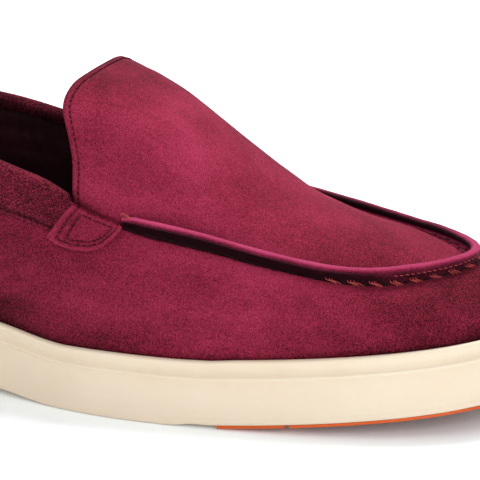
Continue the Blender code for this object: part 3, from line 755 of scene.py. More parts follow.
def cup_sole():
    side, tone = cup_side()
    rings, count = side.shape[:2]
    index = np.arange(rings * count).reshape(rings, count)
    after = np.roll(index, -1, axis=0)
    quads = np.stack([index[:, :-1], after[:, :-1], after[:, 1:], index[:, 1:]], axis=-1)
    faces = quads.reshape(-1, 4)[:, ::-1].tolist()
    vertices, shade = [side.reshape(-1, 3)], [tone.reshape(-1)]
    # The underside spans the first column of the side and the floor inside spans the last
    for column, height in ((0, None), (count - 1, CUP_FLOOR)):
        start = sum(len(block) for block in vertices)
        points, sheet = cup_sheet(side, index, column, height, start)
        vertices.append(points)
        shade.append(np.full(len(points), -0.10))
        faces += sheet if height is None else [face[::-1] for face in sheet]
    make("sole_cup", np.concatenate(vertices), faces, CREAM, ["cup_sole"],
         np.concatenate(shade))


def edge_at(x, inset, low, high):
    """The outline's point at each distance from the heel, on one side of the sole."""
    place = np.linspace(low, high, 1200)
    points = outline_point(place, inset)
    order = np.argsort(points[:, 0])
    return np.interp(x, points[order, 0], points[order, 1])


def tread(name, node, start, end):
    """An outsole pad with chevron grooves cut in its underside."""
    inset = 0.0008
    x = np.linspace(start, end, int((end - start) / 0.0005))
    left = edge_at(x, inset, 0.5, STATIONS / 2.0)
    right = edge_at(x, inset, STATIONS / 2.0, STATIONS - 0.5)
    share = np.linspace(0.0, 1.0, 72)
    y = left[:, None] + (right - left)[:, None] * share[None]
    xx = np.broadcast_to(x[:, None], y.shape)
    phase = ((xx + 0.45 * np.abs(y)) / 0.0062) % 1.0
    groove = np.clip(1.0 - np.abs(phase - 0.5) / 0.10, 0.0, 1.0)
    near_edge = np.minimum(np.abs(y - left[:, None]), np.abs(y - right[:, None]))
    near_end = np.minimum(xx - start, end - xx)
    inside = smoothstep(0.0050, 0.0060, near_edge) * smoothstep(0.0025, 0.0035, near_end)
    base = lift(xx)
    outer = np.stack([xx, y, base + 0.0005 * groove * inside], axis=-1)
    inner = np.stack([xx, y, base + TREAD_THICKNESS + 0.0002], axis=-1)
    # Darker away from the rim, and painted shade in the grooves
    darker_inside_and_groove_shade = -0.40 * smoothstep(0.0008, 0.0030, np.minimum(near_edge, near_end))
    darker_inside_and_groove_shade = darker_inside_and_groove_shade - 0.2 * groove * inside
    shell(name, outer, inner, ORANGE, [node], darker_inside_and_groove_shade, bulge=0.25)


def sole_parts():
    cup_sole()
    tread("outsole_heel", "tread_heel", 0.008, 0.064)
    tread("outsole_ball", "tread_ball", 0.199, 0.2225)
    tread("outsole_toe", "tread_toe", 0.2245, 0.293)
    inside = FEATHER_INSET + LINING_DEPTH + LINING + 0.0006
    slab("footbed_top", inside, 0.0199, 0.0208, LINING_LEATHER, ["footbed_cover"], crown=0.0008)
    pad = slab("footbed_pad", inside, 0.0156, 0.0195, FOAM, ["footbed_foam"])


# ---- Upper ----

def along_seam(place):
    """Distance along the top edge from the back of the heel, in metres."""
    table = np.linspace(0.0, STATIONS, 1201)
    steps = np.linalg.norm(np.diff(top_edge(table), axis=0), axis=1)
    return np.interp(place, table, np.concatenate([[0.0], np.cumsum(steps)]))


def place_along(distance):
    """The station at each distance along the top edge."""
    table = np.linspace(0.0, STATIONS, 1201)
    return np.interp(distance, along_seam(table), table)


def hand_phase(place):
    """The phase of the hand stitches at a station, a full turn per stitch."""
    return 2.0 * math.pi * along_seam(place) / HAND_PITCH


def seam_share(place):
    """1 along the moc seam, falling to 0 behind the tabs."""
    return smoothstep(TAB_FRONT - 0.1, 8.0, np.minimum(place, STATIONS - place))


def vamp_relief(place, level):
    """Gathers under each hand stitch, and the slow waves of soft suede."""
    point = wall_point(place, np.maximum(level, 0.0) * np.ones_like(place))
    wave = 0.00042 * drift(point, 0.052, 11) + 0.00016 * drift(point, 0.017, 12)
    wave = wave * smoothstep(0.0, 0.25, level) * (1.0 - smoothstep(0.9, 1.0, level))
    phase = hand_phase(place)
    near = (1.0 - level) * wall_length(place)
    gather = -0.00030 * (0.5 + 0.5 * np.cos(phase)) * np.exp(-(near / 0.0042) ** 2)
    roll_in = -0.00045 * np.exp(-(near / 0.0016) ** 2)
    return wave + (gather + roll_in) * seam_share(place)


def vamp_shade(place, level):
    """Painted shade: darker in the seam, at the lip and low down, round the toe and at the heel, with a
    painted band of light under the seam.
    """
    near = (1.0 - level) * wall_length(place)
    phase = hand_phase(place)
    reach = np.minimum(place, STATIONS - place)
    high = np.maximum(level, 0.0) * wall_length(place)
    seam = -(0.40 + 0.10 * np.cos(phase)) * np.exp(-(near / 0.0015) ** 2) * seam_share(place)
    lip = -0.20 * np.exp(-high / 0.0011)
    # A painted band of light under the seam, fading towards the toe
    nap_and_painted_light = 0.13 * bump(near, 0.009, 0.007) * seam_share(place)
    nap_and_painted_light = nap_and_painted_light * (1.0 - smoothstep(12.0, 13.2, reach))
    painted_falloff = -0.16 * (1.0 - smoothstep(0.002, 0.018, high)) - 0.29 * smoothstep(9.0, 12.8, reach)
    return seam + lip + nap_and_painted_light + painted_falloff - 0.19 * (1.0 - smoothstep(5.0, 7.8, reach))


def roll_share(place):
    """The ridge's height round the seam: low under the tabs, full along the lateral side."""
    return np.interp(place, *zip(*ROLL_SHARES))


def seam_frame(place, out, up):
    """A point beside the top edge: so far out in plan and so far up."""
    head = top_edge(place)
    normal = plan_normal(top_edge, place)
    out, up = np.broadcast_arrays(np.asarray(out, float), np.asarray(up, float))
    point = head + np.zeros(out.shape + (3,))
    point[..., :2] += out[..., None] * normal
    point[..., 2] += up
    return point


def toe_turn(place):
    """1 round the toe, where the ridge stands upright; 0 along the sides."""
    return smoothstep(10.6, 12.8, np.minimum(place, STATIONS - place))


def seam_roll():
    """The moc seam's ridge: a full bead on a narrower sewn neck."""
    side = open_curve((
        (0.0014, -0.0012), (0.0010, 0.0003), (0.0005, 0.0012), (0.0001, 0.0022), (0.0003, 0.0030),
        (0.0012, 0.0034), (0.0020, 0.0039), (0.0021, 0.0045), (0.0016, 0.0051), (0.0006, 0.0054),
        (-0.0006, 0.0054), (-0.0016, 0.0050), (-0.0019, 0.0044), (-0.0016, 0.0037),
        (-0.0011, 0.0030), (-0.0010, 0.0015), (-0.0016, 0.0002), (-0.0026, -0.0012),
    ), 48)
    toe = open_curve((
        (0.0016, -0.0012), (0.0013, 0.0004), (0.0012, 0.0016), (0.0013, 0.0028), (0.0016, 0.0036),
        (0.0020, 0.0042), (0.0020, 0.0048), (0.0016, 0.0053), (0.0008, 0.0056), (-0.0001, 0.0056),
        (-0.0009, 0.0054), (-0.0015, 0.0050), (-0.0017, 0.0044), (-0.0013, 0.0036),
        (-0.0010, 0.0028), (-0.0010, 0.0015), (-0.0016, 0.0002), (-0.0026, -0.0012),
    ), 48)
    place = spread(ROLL_START, STATIONS - ROLL_START, 0.022)[:, None]
    blend = toe_turn(place)
    out = (1.0 - blend) * side[:, 0] + blend * toe[:, 0]
    up = (1.0 - blend) * side[:, 1] + blend * toe[:, 1]
    phase = hand_phase(place)
    head = top_edge(place[:, 0])[:, None]
    wander = drift(head, 0.030, 21)
    full = 1.0 + 0.05 * wander + 0.03 * np.cos(phase)
    high = np.maximum(up, 0.0)
    out = out * (1.0 + (full - 1.0) * smoothstep(0.002, 0.005, high))
    out = out + 0.00025 * drift(head, 0.045, 22)
    up = up * roll_share(place) * (1.0 + 0.02 * drift(head, 0.020, 23))
    sections = seam_frame(place, out, up)
    # Painted light on the ridge: a painted highlight along the top of the bead, painted shade on the
    # neck under it and on its inner face, graded up the bead's outer side, and less on the outer side
    # round the toe
    under = smoothstep(-0.0012, -0.0002, up / roll_share(place))
    under = under * (1.0 - smoothstep(0.0036, 0.0053, high))
    inner = (out < 0.0) * smoothstep(0.0012, 0.0022, high) * (1.0 - smoothstep(0.0046, 0.0054, high))
    # Past the toe, on the medial side, the ridge's top gets painted shade
    far = smoothstep(14.6, 15.8, place) * (out < 0.0012)
    tone = 0.30 * smoothstep(0.0048, 0.0055, high) * (out > -0.0004)
    tone = tone - 0.64 * np.maximum(under * (out > 0.0), inner)
    tone = tone + 0.24 * under * (out > 0.0) * smoothstep(0.0018, 0.0036, high)
    tone = tone * (1.0 - 0.34 * blend * (out > 0.0)) - 0.34 * far * smoothstep(0.0040, 0.0050, high)
    tube("moc_ridge", sections, SUEDE_RIDGE, ["seam_roll"], tone)


APRON_ROWS, APRON_COLUMNS = 210, 121


def apron_surface(first=0.0, last=1.0, trim=0.0, rows=APRON_ROWS, columns=APRON_COLUMNS):
    """A grid of points on the apron between two shares of its length, and its normals."""
    fine = apron_rows(600)
    start, end = int(first * 599), int(last * 599)
    share = np.linspace(0.0, 1.0, rows)
    # Rows stand closer together towards the tongue's edge, and columns towards the sides
    closer = 0.35 * share + 0.65 * (1 - (1 - share) ** 1.6)
    pick = np.unique(np.round(start + (end - start) * closer).astype(int))
    wide = 1.0 - trim
    bend = np.linspace(-1.0, 1.0, columns) * wide
    across = 0.55 * bend + 0.45 * np.sin(bend * math.pi / 2.0) * wide / math.sin(wide * math.pi / 2.0)
    points = np.stack([arch(fine[row], across) for row in pick])
    # The tongue's lower corners lie against the wall inside the tabs
    near = np.exp(-(grid_distance(points) / 0.014) ** 2)
    near = near * smoothstep(0.008, 0.020, np.abs(points[..., 1]))
    high = points[..., 2]
    points[..., 0] += near * (0.0014 * bump(high, 0.088, 0.010) - 0.0014 * bump(high, 0.1055, 0.006))
    press = tongue_share(points[:, :1, 0]) * np.exp(-(side_distance(points) / 0.0075) ** 2)
    points[..., 1] += 0.0017 * press * np.sign(points[..., 1])
    return points, surface_normals(points)


def tongue_share(x):
    """1 on the free tongue, falling to 0 where the apron is sewn to the wall."""
    return 1.0 - smoothstep(0.155, 0.172, x)


def grid_distance(points):
    """How far each grid point is from the last row, measured along its column."""
    steps = np.linalg.norm(np.diff(points, axis=0), axis=2)
    return np.concatenate([np.cumsum(steps[::-1], axis=0)[::-1], np.zeros((1, steps.shape[1]))])


def side_distance(points):
    """How far each grid point is from the nearer end of its row."""
    steps = np.linalg.norm(np.diff(points, axis=1), axis=2)
    from_left = np.concatenate([np.zeros((len(steps), 1)), np.cumsum(steps, axis=1)], axis=1)
    return np.minimum(from_left, from_left[:, -1:] - from_left)


def tucked_in(outer, inner, tone):
    """Adds the margin by which the tongue's sides reach down inside the shoe's wall."""
    free = tongue_share(outer[:, 0, 0])
    for side in (0, -1):
        step = (0.0012 * free + 0.0001)[:, None]
        way = unit(outer[:, side] - outer[:, 2 if side == 0 else -3])
        way = unit(way + np.array([0.0, 0.0, -0.8]))
        rings = [
            [grid[:, side] + step * number * way for number in (1, 2, 3, 4)]
            for grid in (outer, inner)
        ]
        # Painted shade: darker step by step where the sides reach down under the wall
        tones = [tone[:, side] - 0.05 * number for number in (1, 2, 3, 4)]
        if side == 0:
            rings = [ring[::-1] for ring in rings]
            tones = tones[::-1]
        extra = [np.stack(ring, axis=1) for ring in rings]
        parts = [(extra[0], outer), (extra[1], inner), (np.stack(tones, axis=1), tone)]
        if side == -1:
            parts = [(second, first) for first, second in parts]
        outer, inner, tone = [np.concatenate(part, axis=1) for part in parts]
    return outer, inner, tone


def apron():
    points, normals = apron_surface()
    behind = grid_distance(points)
    aside = side_distance(points)
    seam = smoothstep(0.028, 0.040, behind)
    wave = 0.00050 * drift(points, 0.060, 31) + 0.00018 * drift(points, 0.019, 32)
    wave = wave * smoothstep(0.0, 0.010, aside) * smoothstep(0.0, 0.006, behind)
    groove = -0.00030 * bump(behind, 0.0022, 0.0006)
    crown = 0.0004 * (1.0 - np.exp(-(aside / 0.004) ** 2)) * seam
    tuck = -0.0006 * np.exp(-(aside / 0.0012) ** 2) * seam
    outer = points + (wave + groove + crown + tuck)[..., None] * normals
    inner = points - SUEDE * normals
    # Painted light and shade: painted shade in the stitch groove by the tongue's edge, where the sides
    # tuck in, along the free edge, over the tongue's lateral top and towards the toe; the two lighter
    # patches are painted light
    tone = -0.17 * bump(behind, 0.0022, 0.0005) - 0.20 * np.exp(-(aside / 0.0013) ** 2)
    tone = tone - 0.14 * np.exp(-(behind / 0.0007) ** 2)
    x, y = points[..., 0], points[..., 1]
    tone = tone - 0.22 * (1.0 - smoothstep(0.010, 0.034, behind)) * smoothstep(-0.036, -0.012, y)
    tone = tone + 0.07 * bump(x, 0.190, 0.030) * (y < 0.0) * bump(aside, 0.007, 0.008)
    tone = tone + 0.07 * bump(behind, 0.052, 0.014) * bump(y, -0.022, 0.018)
    tone = tone - 0.10 * smoothstep(0.205, 0.235, x)
    outer, inner, tone = tucked_in(outer, inner, tone)
    shell("apron_suede", outer, inner, SUEDE_MAIN, ["apron"], tone, bulge=0.35)


def tongue_row(behind_edge):
    """A path over the tongue at a distance inside its free edge, with its normals."""
    points, normals = apron_surface(rows=300)
    behind = grid_distance(points)
    path, ups = [], []
    for column in range(3, points.shape[1] - 3):
        order = np.argsort(behind[:, column])
        near = behind[order, column]
        for found, grid in ((path, points), (ups, normals)):
            found.append([np.interp(behind_edge, near, grid[order, column, part]) for part in range(3)])
    return np.array(path), unit(np.array(ups))


def apron_parts():
    apron()
    points, normals = apron_surface(0.02, 0.997, 0.03, 110, 60)
    behind = grid_distance(points)
    room = (1.0 - smoothstep(0.012, 0.030, behind)) * smoothstep(0.0002, 0.0050, behind)
    depth = SUEDE + GAP + (TONGUE_FOAM + GAP) * room
    fold = 0.00025 * drift(points, 0.020, 41)
    outer = points - (depth + fold)[..., None] * normals
    inner = points - (depth + fold + LINING)[..., None] * normals
    shell("apron_lining_skin", outer, inner, LINING_LEATHER, ["apron_lining"])
    points, normals = apron_surface(0.78, 0.925, 0.06, 40, 50)
    near = np.minimum(grid_distance(points), side_distance(points))
    swell = TONGUE_FOAM * (0.35 + 0.65 * smoothstep(0.0, 0.006, near))
    outer = points - (SUEDE + GAP) * normals
    inner = points - (SUEDE + GAP + swell)[..., None] * normals
    pad = shell("tongue_pad", outer, inner, FOAM, ["tongue_foam"])


def collar_section(place):
    """The padded collar in section, with its stitched-down lower edge."""
    shape = np.array((
        (0.0180, 0.0004), (0.0182, 0.0010), (0.0178, OUTSIDE), (0.0169, OUTSIDE + 0.0001),
        (COLLAR_STITCH_DROP, OUTSIDE - 0.0003), (0.0155, OUTSIDE + 0.0001), (0.0130, OUTSIDE + 0.0006),
        (0.0090, OUTSIDE + 0.0008), (0.0050, OUTSIDE + 0.0006), (0.0018, OUTSIDE + 0.0001),
        (-0.0007, 0.0010), (-0.0020, -0.0002), (-0.0025, -0.0020), (-0.0021, -0.0040),
        (-0.0008, -0.0053), (0.0010, BEHIND - 0.0001), (0.0024, BEHIND), (0.0030, BEHIND + 0.0003),
        (0.0032, BEHIND + 0.0007), (0.0030, INSIDE), (0.0020, INSIDE), (0.0008, INSIDE + 0.0002),
        (-0.0003, -0.0030), (0.0000, 0.0000), (0.0020, GAP), (0.0090, GAP), (0.0150, GAP),
        (0.0180, 0.0004),
    ))
    fine = open_curve(shape, 100)[:-1]
    drop, height = fine[:, 0][None], fine[:, 1][None]
    along = along_seam(place)
    point = below_top(place, 0.006 * np.ones_like(place), 0.0 * place)
    phase = 2.0 * math.pi * along / 0.0026
    front = smoothstep(0.6 * GAP, OUTSIDE, height)
    pucker = 0.00018 * np.cos(phase) * bump(drop, 0.0171, 0.0013) * front
    soft = 0.00045 * drift(point, 0.030, 51) * bump(drop, 0.0080, 0.006) * front
    edge = 0.00025 * np.cos(phase) * smoothstep(0.0170, 0.0180, drop)
    # Painted light and shade: painted shade in the stitch line, painted highlights on the puckers below
    # it and along the rolled top, and painted shade on the part inside the shoe
    tone = -0.34 * bump(drop, COLLAR_STITCH_DROP, 0.0006) * (0.65 - 0.35 * np.cos(phase)) * front
    tone = tone + 0.20 * bump(drop, 0.0174, 0.0006) * (0.5 + 0.5 * np.cos(phase)) * front
    tone = tone + 0.12 * bump(drop, -0.0016, 0.0009)
    tone = tone - 0.30 * (1.0 - smoothstep(-0.0040, -0.0015, height))
    reach = np.minimum(place, STATIONS - place)
    taller = -0.0010 * smoothstep(5.4, 6.2, reach) * (1.0 - smoothstep(-0.001, 0.004, drop))
    return below_top(place, drop + edge + taller, height + pucker + soft), tone


def collar(name, node, start, end):
    place = spread(start, end, 0.03)[:, None]
    sections, tone = collar_section(place)
    tube(name, sections, SUEDE_COLLAR, [node], tone)


def heel_strip():
    """The strip over the back seam, from the sole's lip over the topline."""
    place = np.linspace(-STRIP_HALF, STRIP_HALF, 41)[:, None]
    side = (1.0 - (np.abs(place) / STRIP_HALF) ** 6)
    reach = wall_length(place) - 0.0012
    shape = np.array((
        (0.0040, OUTSIDE + 0.0002), (0.0012, OUTSIDE), (-0.0008, 0.0010), (-0.0020, -0.0002),
        (-0.0024, -0.0020), (-0.0021, -0.0040), (-0.0010, -0.0055), (0.0015, BEHIND - 0.0003),
        (0.0028, BEHIND), (0.0036, BEHIND + 0.0002), (0.0036, INSIDE), (0.0024, INSIDE),
        (0.0010, INSIDE + 0.0002), (-0.0003, -0.0030), (0.0000, 0.0000), (0.0020, GAP), (0.0050, GAP),
    ))
    fine = open_curve(shape, 60)
    down = 0.0055 + (reach - 0.0055) * np.linspace(0.0, 1.0, 40)[None]
    ones = np.ones_like(place)
    front = np.concatenate([down[:, ::-1], ones * fine[:, 0], down], axis=1)
    bulge_out = 0.0002 * side * np.ones_like(down)
    height = np.concatenate([
        OUTSIDE + bulge_out[:, ::-1], ones * fine[:, 1] + 0.0 * side, GAP + 0.0 * bulge_out,
    ], axis=1)
    lip = np.concatenate([np.full(40, 1.0), smoothstep(0.0, 0.001, fine[:, 1]), np.zeros(40)])
    height = height - (1.0 - side) * 0.0004 * lip
    sections = below_top(place, front, height)
    across = np.abs(place) / STRIP_HALF
    # Painted shade along the two stitch lines; lighter at the strip's edges
    tone = -0.28 * bump(across, 0.72, 0.07) * lip[None] + 0.08 * smoothstep(0.9, 1.0, across)
    tone = tone * np.ones(sections.shape[:2])
    tube("heel_strip_suede", sections, SUEDE_COLLAR, ["heel_strip"], tone)


def tab_tall(along):
    """How far the tab reaches down from the topline seam, from its rear edge to its front."""
    drops = [drop for _, drop in TAB_EDGE]
    return np.interp(along * (len(TAB_EDGE) - 1), range(len(TAB_EDGE)), drops)


def tab_point(along, down, height, side):
    """A point of the tab; along 0 at its rear edge, down 0 at the topline seam."""
    along, down = np.asarray(along, float), np.asarray(down, float)
    share = along * (len(TAB_EDGE) - 1)
    edge_place, edge_drop = (np.interp(share, range(len(TAB_EDGE)), part) for part in zip(*TAB_EDGE))
    place = TAB_REAR + (TAB_FRONT - TAB_REAR) * along
    place = place + (edge_place - place) * down
    drop = TAB_TOP + (edge_drop - TAB_TOP) * down
    over = (OVERLAY + GAP) * (1.0 - smoothstep(6.42, 6.85, place))
    if side > 0:
        place = STATIONS - place
    return below_top(place, drop, GAP + over + height)


def tab_margin(along, down):
    """Distance inside the tab from its rear, lower and front edges, and from its top."""
    tall = tab_tall(along)
    rim = np.minimum(along * TAB_WIDE, (1.0 - down) * tall)
    rim = np.minimum(rim, (1.0 - along) * TAB_WIDE * 1.4)
    return rim, down * tall


def tab(name, node, side):
    along, down = np.meshgrid(np.linspace(0.0, 1.0, 84), np.linspace(0.0, 1.0, 66), indexing="ij")
    rim, under = tab_margin(along, down)
    whole = np.minimum(rim, under)
    first, second = bump(rim, 0.0017, 0.00042), bump(whole, 0.0036, 0.00042)
    height = OVERLAY + 0.0002 + 0.00025 * smoothstep(0.0036, 0.0060, whole)
    height = height - 0.00032 * first - 0.00030 * second
    outer = tab_point(along, down, height, side)
    inner = tab_point(along, down, 0.0, side)
    # Lighter along the edges and a little darker overall, with painted shade in the stitch grooves and
    # along the topline seam
    tone = 0.10 * np.exp(-(rim / 0.0010) ** 2) - 0.15 * (first + second) - 0.06
    tone = tone - 0.30 * np.exp(-(under / 0.0009) ** 2)
    shell(name, outer, inner, SUEDE_MAIN, [node], tone, bulge=0.35)


def tab_route(inset, closed):
    """A stitch line inside the tab's edges, as (along, down) pairs."""
    wide = inset / TAB_WIDE
    places = np.linspace(wide, 1.0 - wide / 1.4, 40)
    tall = tab_tall(places)
    low = 1.0 - inset / tall
    keep = low > inset / tall + 0.05
    bottom = np.stack([places, low], axis=1)[keep]
    first = max(inset, 0.0016) / tall[0]
    rear = [(wide, down) for down in np.linspace(first, low[0], 14)[:-1]]
    route = [*rear, *bottom.tolist()]
    if closed:
        back = np.linspace(bottom[-1][0], wide, 30)[1:]
        route += [(x, inset / deep) for x, deep in zip(back, tab_tall(back))]
    return np.array(route)


# ---- Stitching ----

STITCH_RISE = 0.00018


def stitches(name, path, ups, pitch, length, radius, material, nodes, sink, seed, skew=0.0):
    """A row of separate machine stitches: each one rises out of the suede and dips back."""
    rng = np.random.default_rng(seed)
    steps = np.linalg.norm(np.diff(path, axis=0), axis=1)
    run = np.concatenate([[0.0], np.cumsum(steps)])
    count = int(run[-1] / pitch)
    rings, sides = 7, 7
    t = np.linspace(0.0, 1.0, rings)
    swell = np.sqrt(np.clip(1.0 - (2.0 * t - 1.0) ** 4, 0.02, 1.0))
    angles = np.linspace(0.0, 2.0 * math.pi, sides, endpoint=False)
    vertices, faces = [], []
    for number in range(count):
        middle = (number + 0.5) * pitch + rng.normal() * 0.03 * pitch
        long = length * (1.0 + 0.06 * rng.normal())
        at = middle + (t - 0.5) * long
        centre = np.stack([np.interp(at, run, path[:, part]) for part in range(3)], axis=1)
        up = unit(np.stack([np.interp(at, run, ups[:, part]) for part in range(3)], axis=1))
        ahead = unit(np.gradient(centre, axis=0))
        beside = unit(np.cross(ahead, up))
        lean = skew * long * (t - 0.5)[:, None] * beside
        centre = centre + lean + (STITCH_RISE * np.sin(math.pi * t) - sink)[:, None] * up
        wide = (radius * swell * (1.0 + 0.05 * rng.normal()))[:, None, None]
        ring = centre[:, None] + wide * (
            np.cos(angles)[None, :, None] * beside[:, None]
            + 0.8 * np.sin(angles)[None, :, None] * up[:, None]
        )
        add_capsule(vertices, faces, ring)
    make(name, np.concatenate(vertices), faces, material, nodes)


def add_capsule(vertices, faces, ring):
    """Adds one closed strand, given its rings of points, to lists of both."""
    rings, sides = ring.shape[:2]
    base = sum(len(block) for block in vertices)
    vertices.append(ring.reshape(-1, 3))
    for row in range(rings - 1):
        for step in range(sides):
            a = base + row * sides + step
            b = base + row * sides + (step + 1) % sides
            faces.append([a, b, b + sides, a + sides])
    faces.append([base + step for step in reversed(range(sides))])
    faces.append([base + (rings - 1) * sides + step for step in range(sides)])


def strand(vertices, faces, points, radius, sides=7):
    """Adds one strand of hand thread along a few points, tapered where it dips in."""
    centre = open_curve(points, 11)
    t = np.linspace(0.0, 1.0, 11)
    ahead = unit(np.gradient(centre, axis=0))
    side = unit(np.cross(ahead, np.array([0.2, 0.3, 1.0])))
    up = np.cross(side, ahead)
    angles = np.linspace(0.0, 2.0 * math.pi, sides, endpoint=False)
    wide = (radius * np.sqrt(np.clip(1.0 - (2.0 * t - 1.0) ** 6, 0.05, 1.0)))[:, None, None]
    ring = centre[:, None] + wide * (
        np.cos(angles)[None, :, None] * side[:, None] + np.sin(angles)[None, :, None] * up[:, None]
    )
    add_capsule(vertices, faces, ring[:, ::-1])


def hand_span():
    """Where the hand stitching starts and ends along the seam, and how many stitches it has."""
    start = float(along_seam(TAB_FRONT + 0.25))
    end = float(along_seam(STATIONS - TAB_FRONT - 0.25))
    return start, int((end - start) / HAND_PITCH) + 1


def front_knot(vertices, faces):
    """The two bright strands where the seam's thread starts, in front of the lateral tab."""
    knot = ((7.50, -0.0006, 0.0030), (7.55, -0.0002, 0.0046), (7.63, 0.0006, 0.0050),
            (7.70, 0.0012, 0.0034))
    for shift in (0.0, 0.05):
        points = [seam_frame(place + shift, out, up) for place, out, up in knot]
        strand(vertices, faces, np.array(points), 0.00022)


def hand_stitches():
    """The moc seam's slanting hand stitches, in groups of three strands, and their holes."""
    rng = np.random.default_rng(5)
    start, total = hand_span()
    bright, side_in_painted_shade = ([], []), ([], [])
    holes, hole_faces = [], []
    for number in range(total):
        centre = start + number * HAND_PITCH
        open_toe = float(toe_turn(place_along(centre)))
        # Along the sides the hand thread goes with the near-black thread and painted shade, for the
        # shade under the bead; round the toe it stays salmon
        vertices, faces = bright if open_toe > 0.15 else side_in_painted_shade
        for turn in (-1, 0, 1):
            at = centre + turn * 0.00100 + rng.normal() * 0.00012
            slant = 0.0023 + rng.normal() * 0.0002
            reach = 0.0011 + 0.0012 * open_toe + rng.normal() * 0.0002
            near, far = place_along(at - slant / 2.0), place_along(at + slant)
            middle = place_along(at + 0.3 * slant)
            points = [
                seam_frame(near, 0.0008 + 0.0004 * open_toe, 0.0013),
                seam_frame(near, 0.0012 + 0.0004 * open_toe, 0.0007),
                seam_frame(middle, 0.0018 + 0.0001 * open_toe, 0.0012 - 0.6 * reach),
                seam_frame(far, 0.0016, 0.0008 - reach),
            ]
            strand(vertices, faces, np.array(points), 0.00016)
        if open_toe < 0.15:
            continue
        hollow = place_along(centre + 0.0036)
        rim = []
        for angle in np.linspace(0.0, 2.0 * math.pi, 14, endpoint=False):
            rim.append((0.0011 * math.cos(angle), 0.0010 + 0.00060 * math.sin(angle)))
        add_hole(holes, hole_faces, hollow, rim)
    front_knot(*bright)
    make("moc_stitches", np.concatenate(bright[0]), bright[1], SALMON, ["moc_thread"])
    # The side strands: near-black thread with painted shade
    count = sum(len(block) for block in side_in_painted_shade[0])
    make("moc_stitches_sides_painted_shade", np.concatenate(side_in_painted_shade[0]), side_in_painted_shade[1], BURGUNDY_AND_SHADE,
         shade=np.full(count, -0.3))
    make("moc_awl_holes", np.concatenate(holes), hole_faces, HOLE)


def add_hole(vertices, faces, place, rim):
    """Adds a small dark lens, painted shade for the hole the awl has opened in the suede beside the
    ridge.
    """
    rim = np.array(rim)
    at = place_along(along_seam(place) + rim[:, 0])
    edge = seam_frame(at, 0.0013, rim[:, 1] - 0.0010)
    top = seam_frame(np.array([float(place)]), 0.0019, 0.0001)
    low = seam_frame(np.array([float(place)]), 0.0006, 0.0)
    middle = (edge + top) / 2.0 + (top - edge) * 0.1
    base = sum(len(block) for block in vertices)
    count = len(rim)
    vertices.append(np.concatenate([edge, middle, top, low]))
    for step in range(count):
        right = (step + 1) % count
        faces.append([base + step, base + right, base + count + right, base + count + step])
        faces.append([base + count + step, base + count + right, base + 2 * count])
        faces.append([base + right, base + step, base + 2 * count + 1])


def inner_stitches():
    """The short inner ends of the hand stitches, along the apron's border."""
    start, total = hand_span()
    vertices, faces = [], []
    for number in range(total):
        centre = start + number * HAND_PITCH + 0.0012
        for turn in (-0.5, 0.5):
            at = centre + turn * 0.0010
            near, far = place_along(at), place_along(at + 0.0019)
            points = [
                seam_frame(near, -0.0013, 0.0010 * float(roll_share(near))),
                seam_frame(near, -0.0024, 0.0008),
                seam_frame(far, -0.0036, 0.0010),
                seam_frame(far, -0.0044, 0.0002),
            ]
            strand(vertices, faces, np.array(points), 0.00022, 6)
    make("moc_stitches_inner", np.concatenate(vertices), faces, BURGUNDY_AND_SHADE)


def ridge_row():
    """The machine row along the ridge's outer side."""
    place = np.linspace(RIDGE_ROW_START, STATIONS - RIDGE_ROW_START, 900)
    out = toe_turn(place) * 0.0013
    up = 0.0026 * roll_share(place)
    path = seam_frame(place, out, up)
    normal = plan_normal(top_edge, place)
    ups = unit(np.concatenate([normal, np.full((len(place), 1), 0.05)], axis=1))
    stitches("ridge_stitches", path, ups, STITCH_PITCH, 0.0015, 0.00017, SALMON, ["roll_thread"],
             sink=0.00004, seed=7, skew=0.16)


def tab_rows(side, word):
    """The two rows on a tab: one inside its edge, and one further in that closes on itself."""
    height = OVERLAY + 0.0002
    for number, inset in enumerate(TAB_ROW_INSETS):
        route = tab_route(inset, number == 1)
        path = tab_point(route[:, 0], route[:, 1], height, side)
        above = tab_point(route[:, 0], route[:, 1], height + 0.001, side)
        nodes = [f"tab_thread_{word}"] if number == 0 else []
        stitches(f"tab_stitches_{word}_{number + 1}", path, unit(above - path), 0.0019, 0.00125,
                 0.00026, BURGUNDY_AND_SHADE, nodes, sink=0.00024, seed=10 + number, skew=0.15)


def collar_row(side, word):
    """The row along the collar's lower edge."""
    start, end = STRIP_HALF + 0.05, 6.1
    if side > 0:
        start, end = STATIONS - end, STATIONS - start
    place = np.linspace(start, end, 500)
    path = below_top(place, COLLAR_STITCH_DROP, OUTSIDE)
    ups = unit(below_top(place, COLLAR_STITCH_DROP, OUTSIDE + 0.001) - path)
    stitches(f"collar_stitches_{word}", path, ups, 0.0026, 0.0015, 0.00025, BURGUNDY_AND_SHADE,
             [f"collar_thread_{word}"], sink=0.00022, seed=13, skew=0.1)


def heel_row(side, word):
    """The row down one edge of the heel strip."""
    place = -side * 0.72 * STRIP_HALF
    drop = np.linspace(0.002, float(wall_length(place)) - 0.003, 120)
    path = below_top(np.full(120, place), drop, OUTSIDE + 0.0001)
    ups = unit(below_top(np.full(120, place), drop, OUTSIDE + 0.0011) - path)
    stitches(f"heel_stitches_{word}", path, ups, 0.0024, 0.0015, 0.00024, BURGUNDY_AND_SHADE,
             [f"heel_thread_{word}"], sink=0.00008, seed=16)


def thread_rows():
    hand_stitches()
    inner_stitches()
    ridge_row()
    path, ups = tongue_row(0.0022)
    stitches("tongue_stitches", path, ups, STITCH_PITCH, 0.00130, 0.00029, BURGUNDY_AND_SHADE,
             ["tongue_thread"], sink=0.00020, seed=8, skew=0.22)
    for side, word in ((-1, "lateral"), (1, "medial")):
        tab_rows(side, word)
        collar_row(side, word)
        heel_row(side, word)


# ---- Linings and pads ----

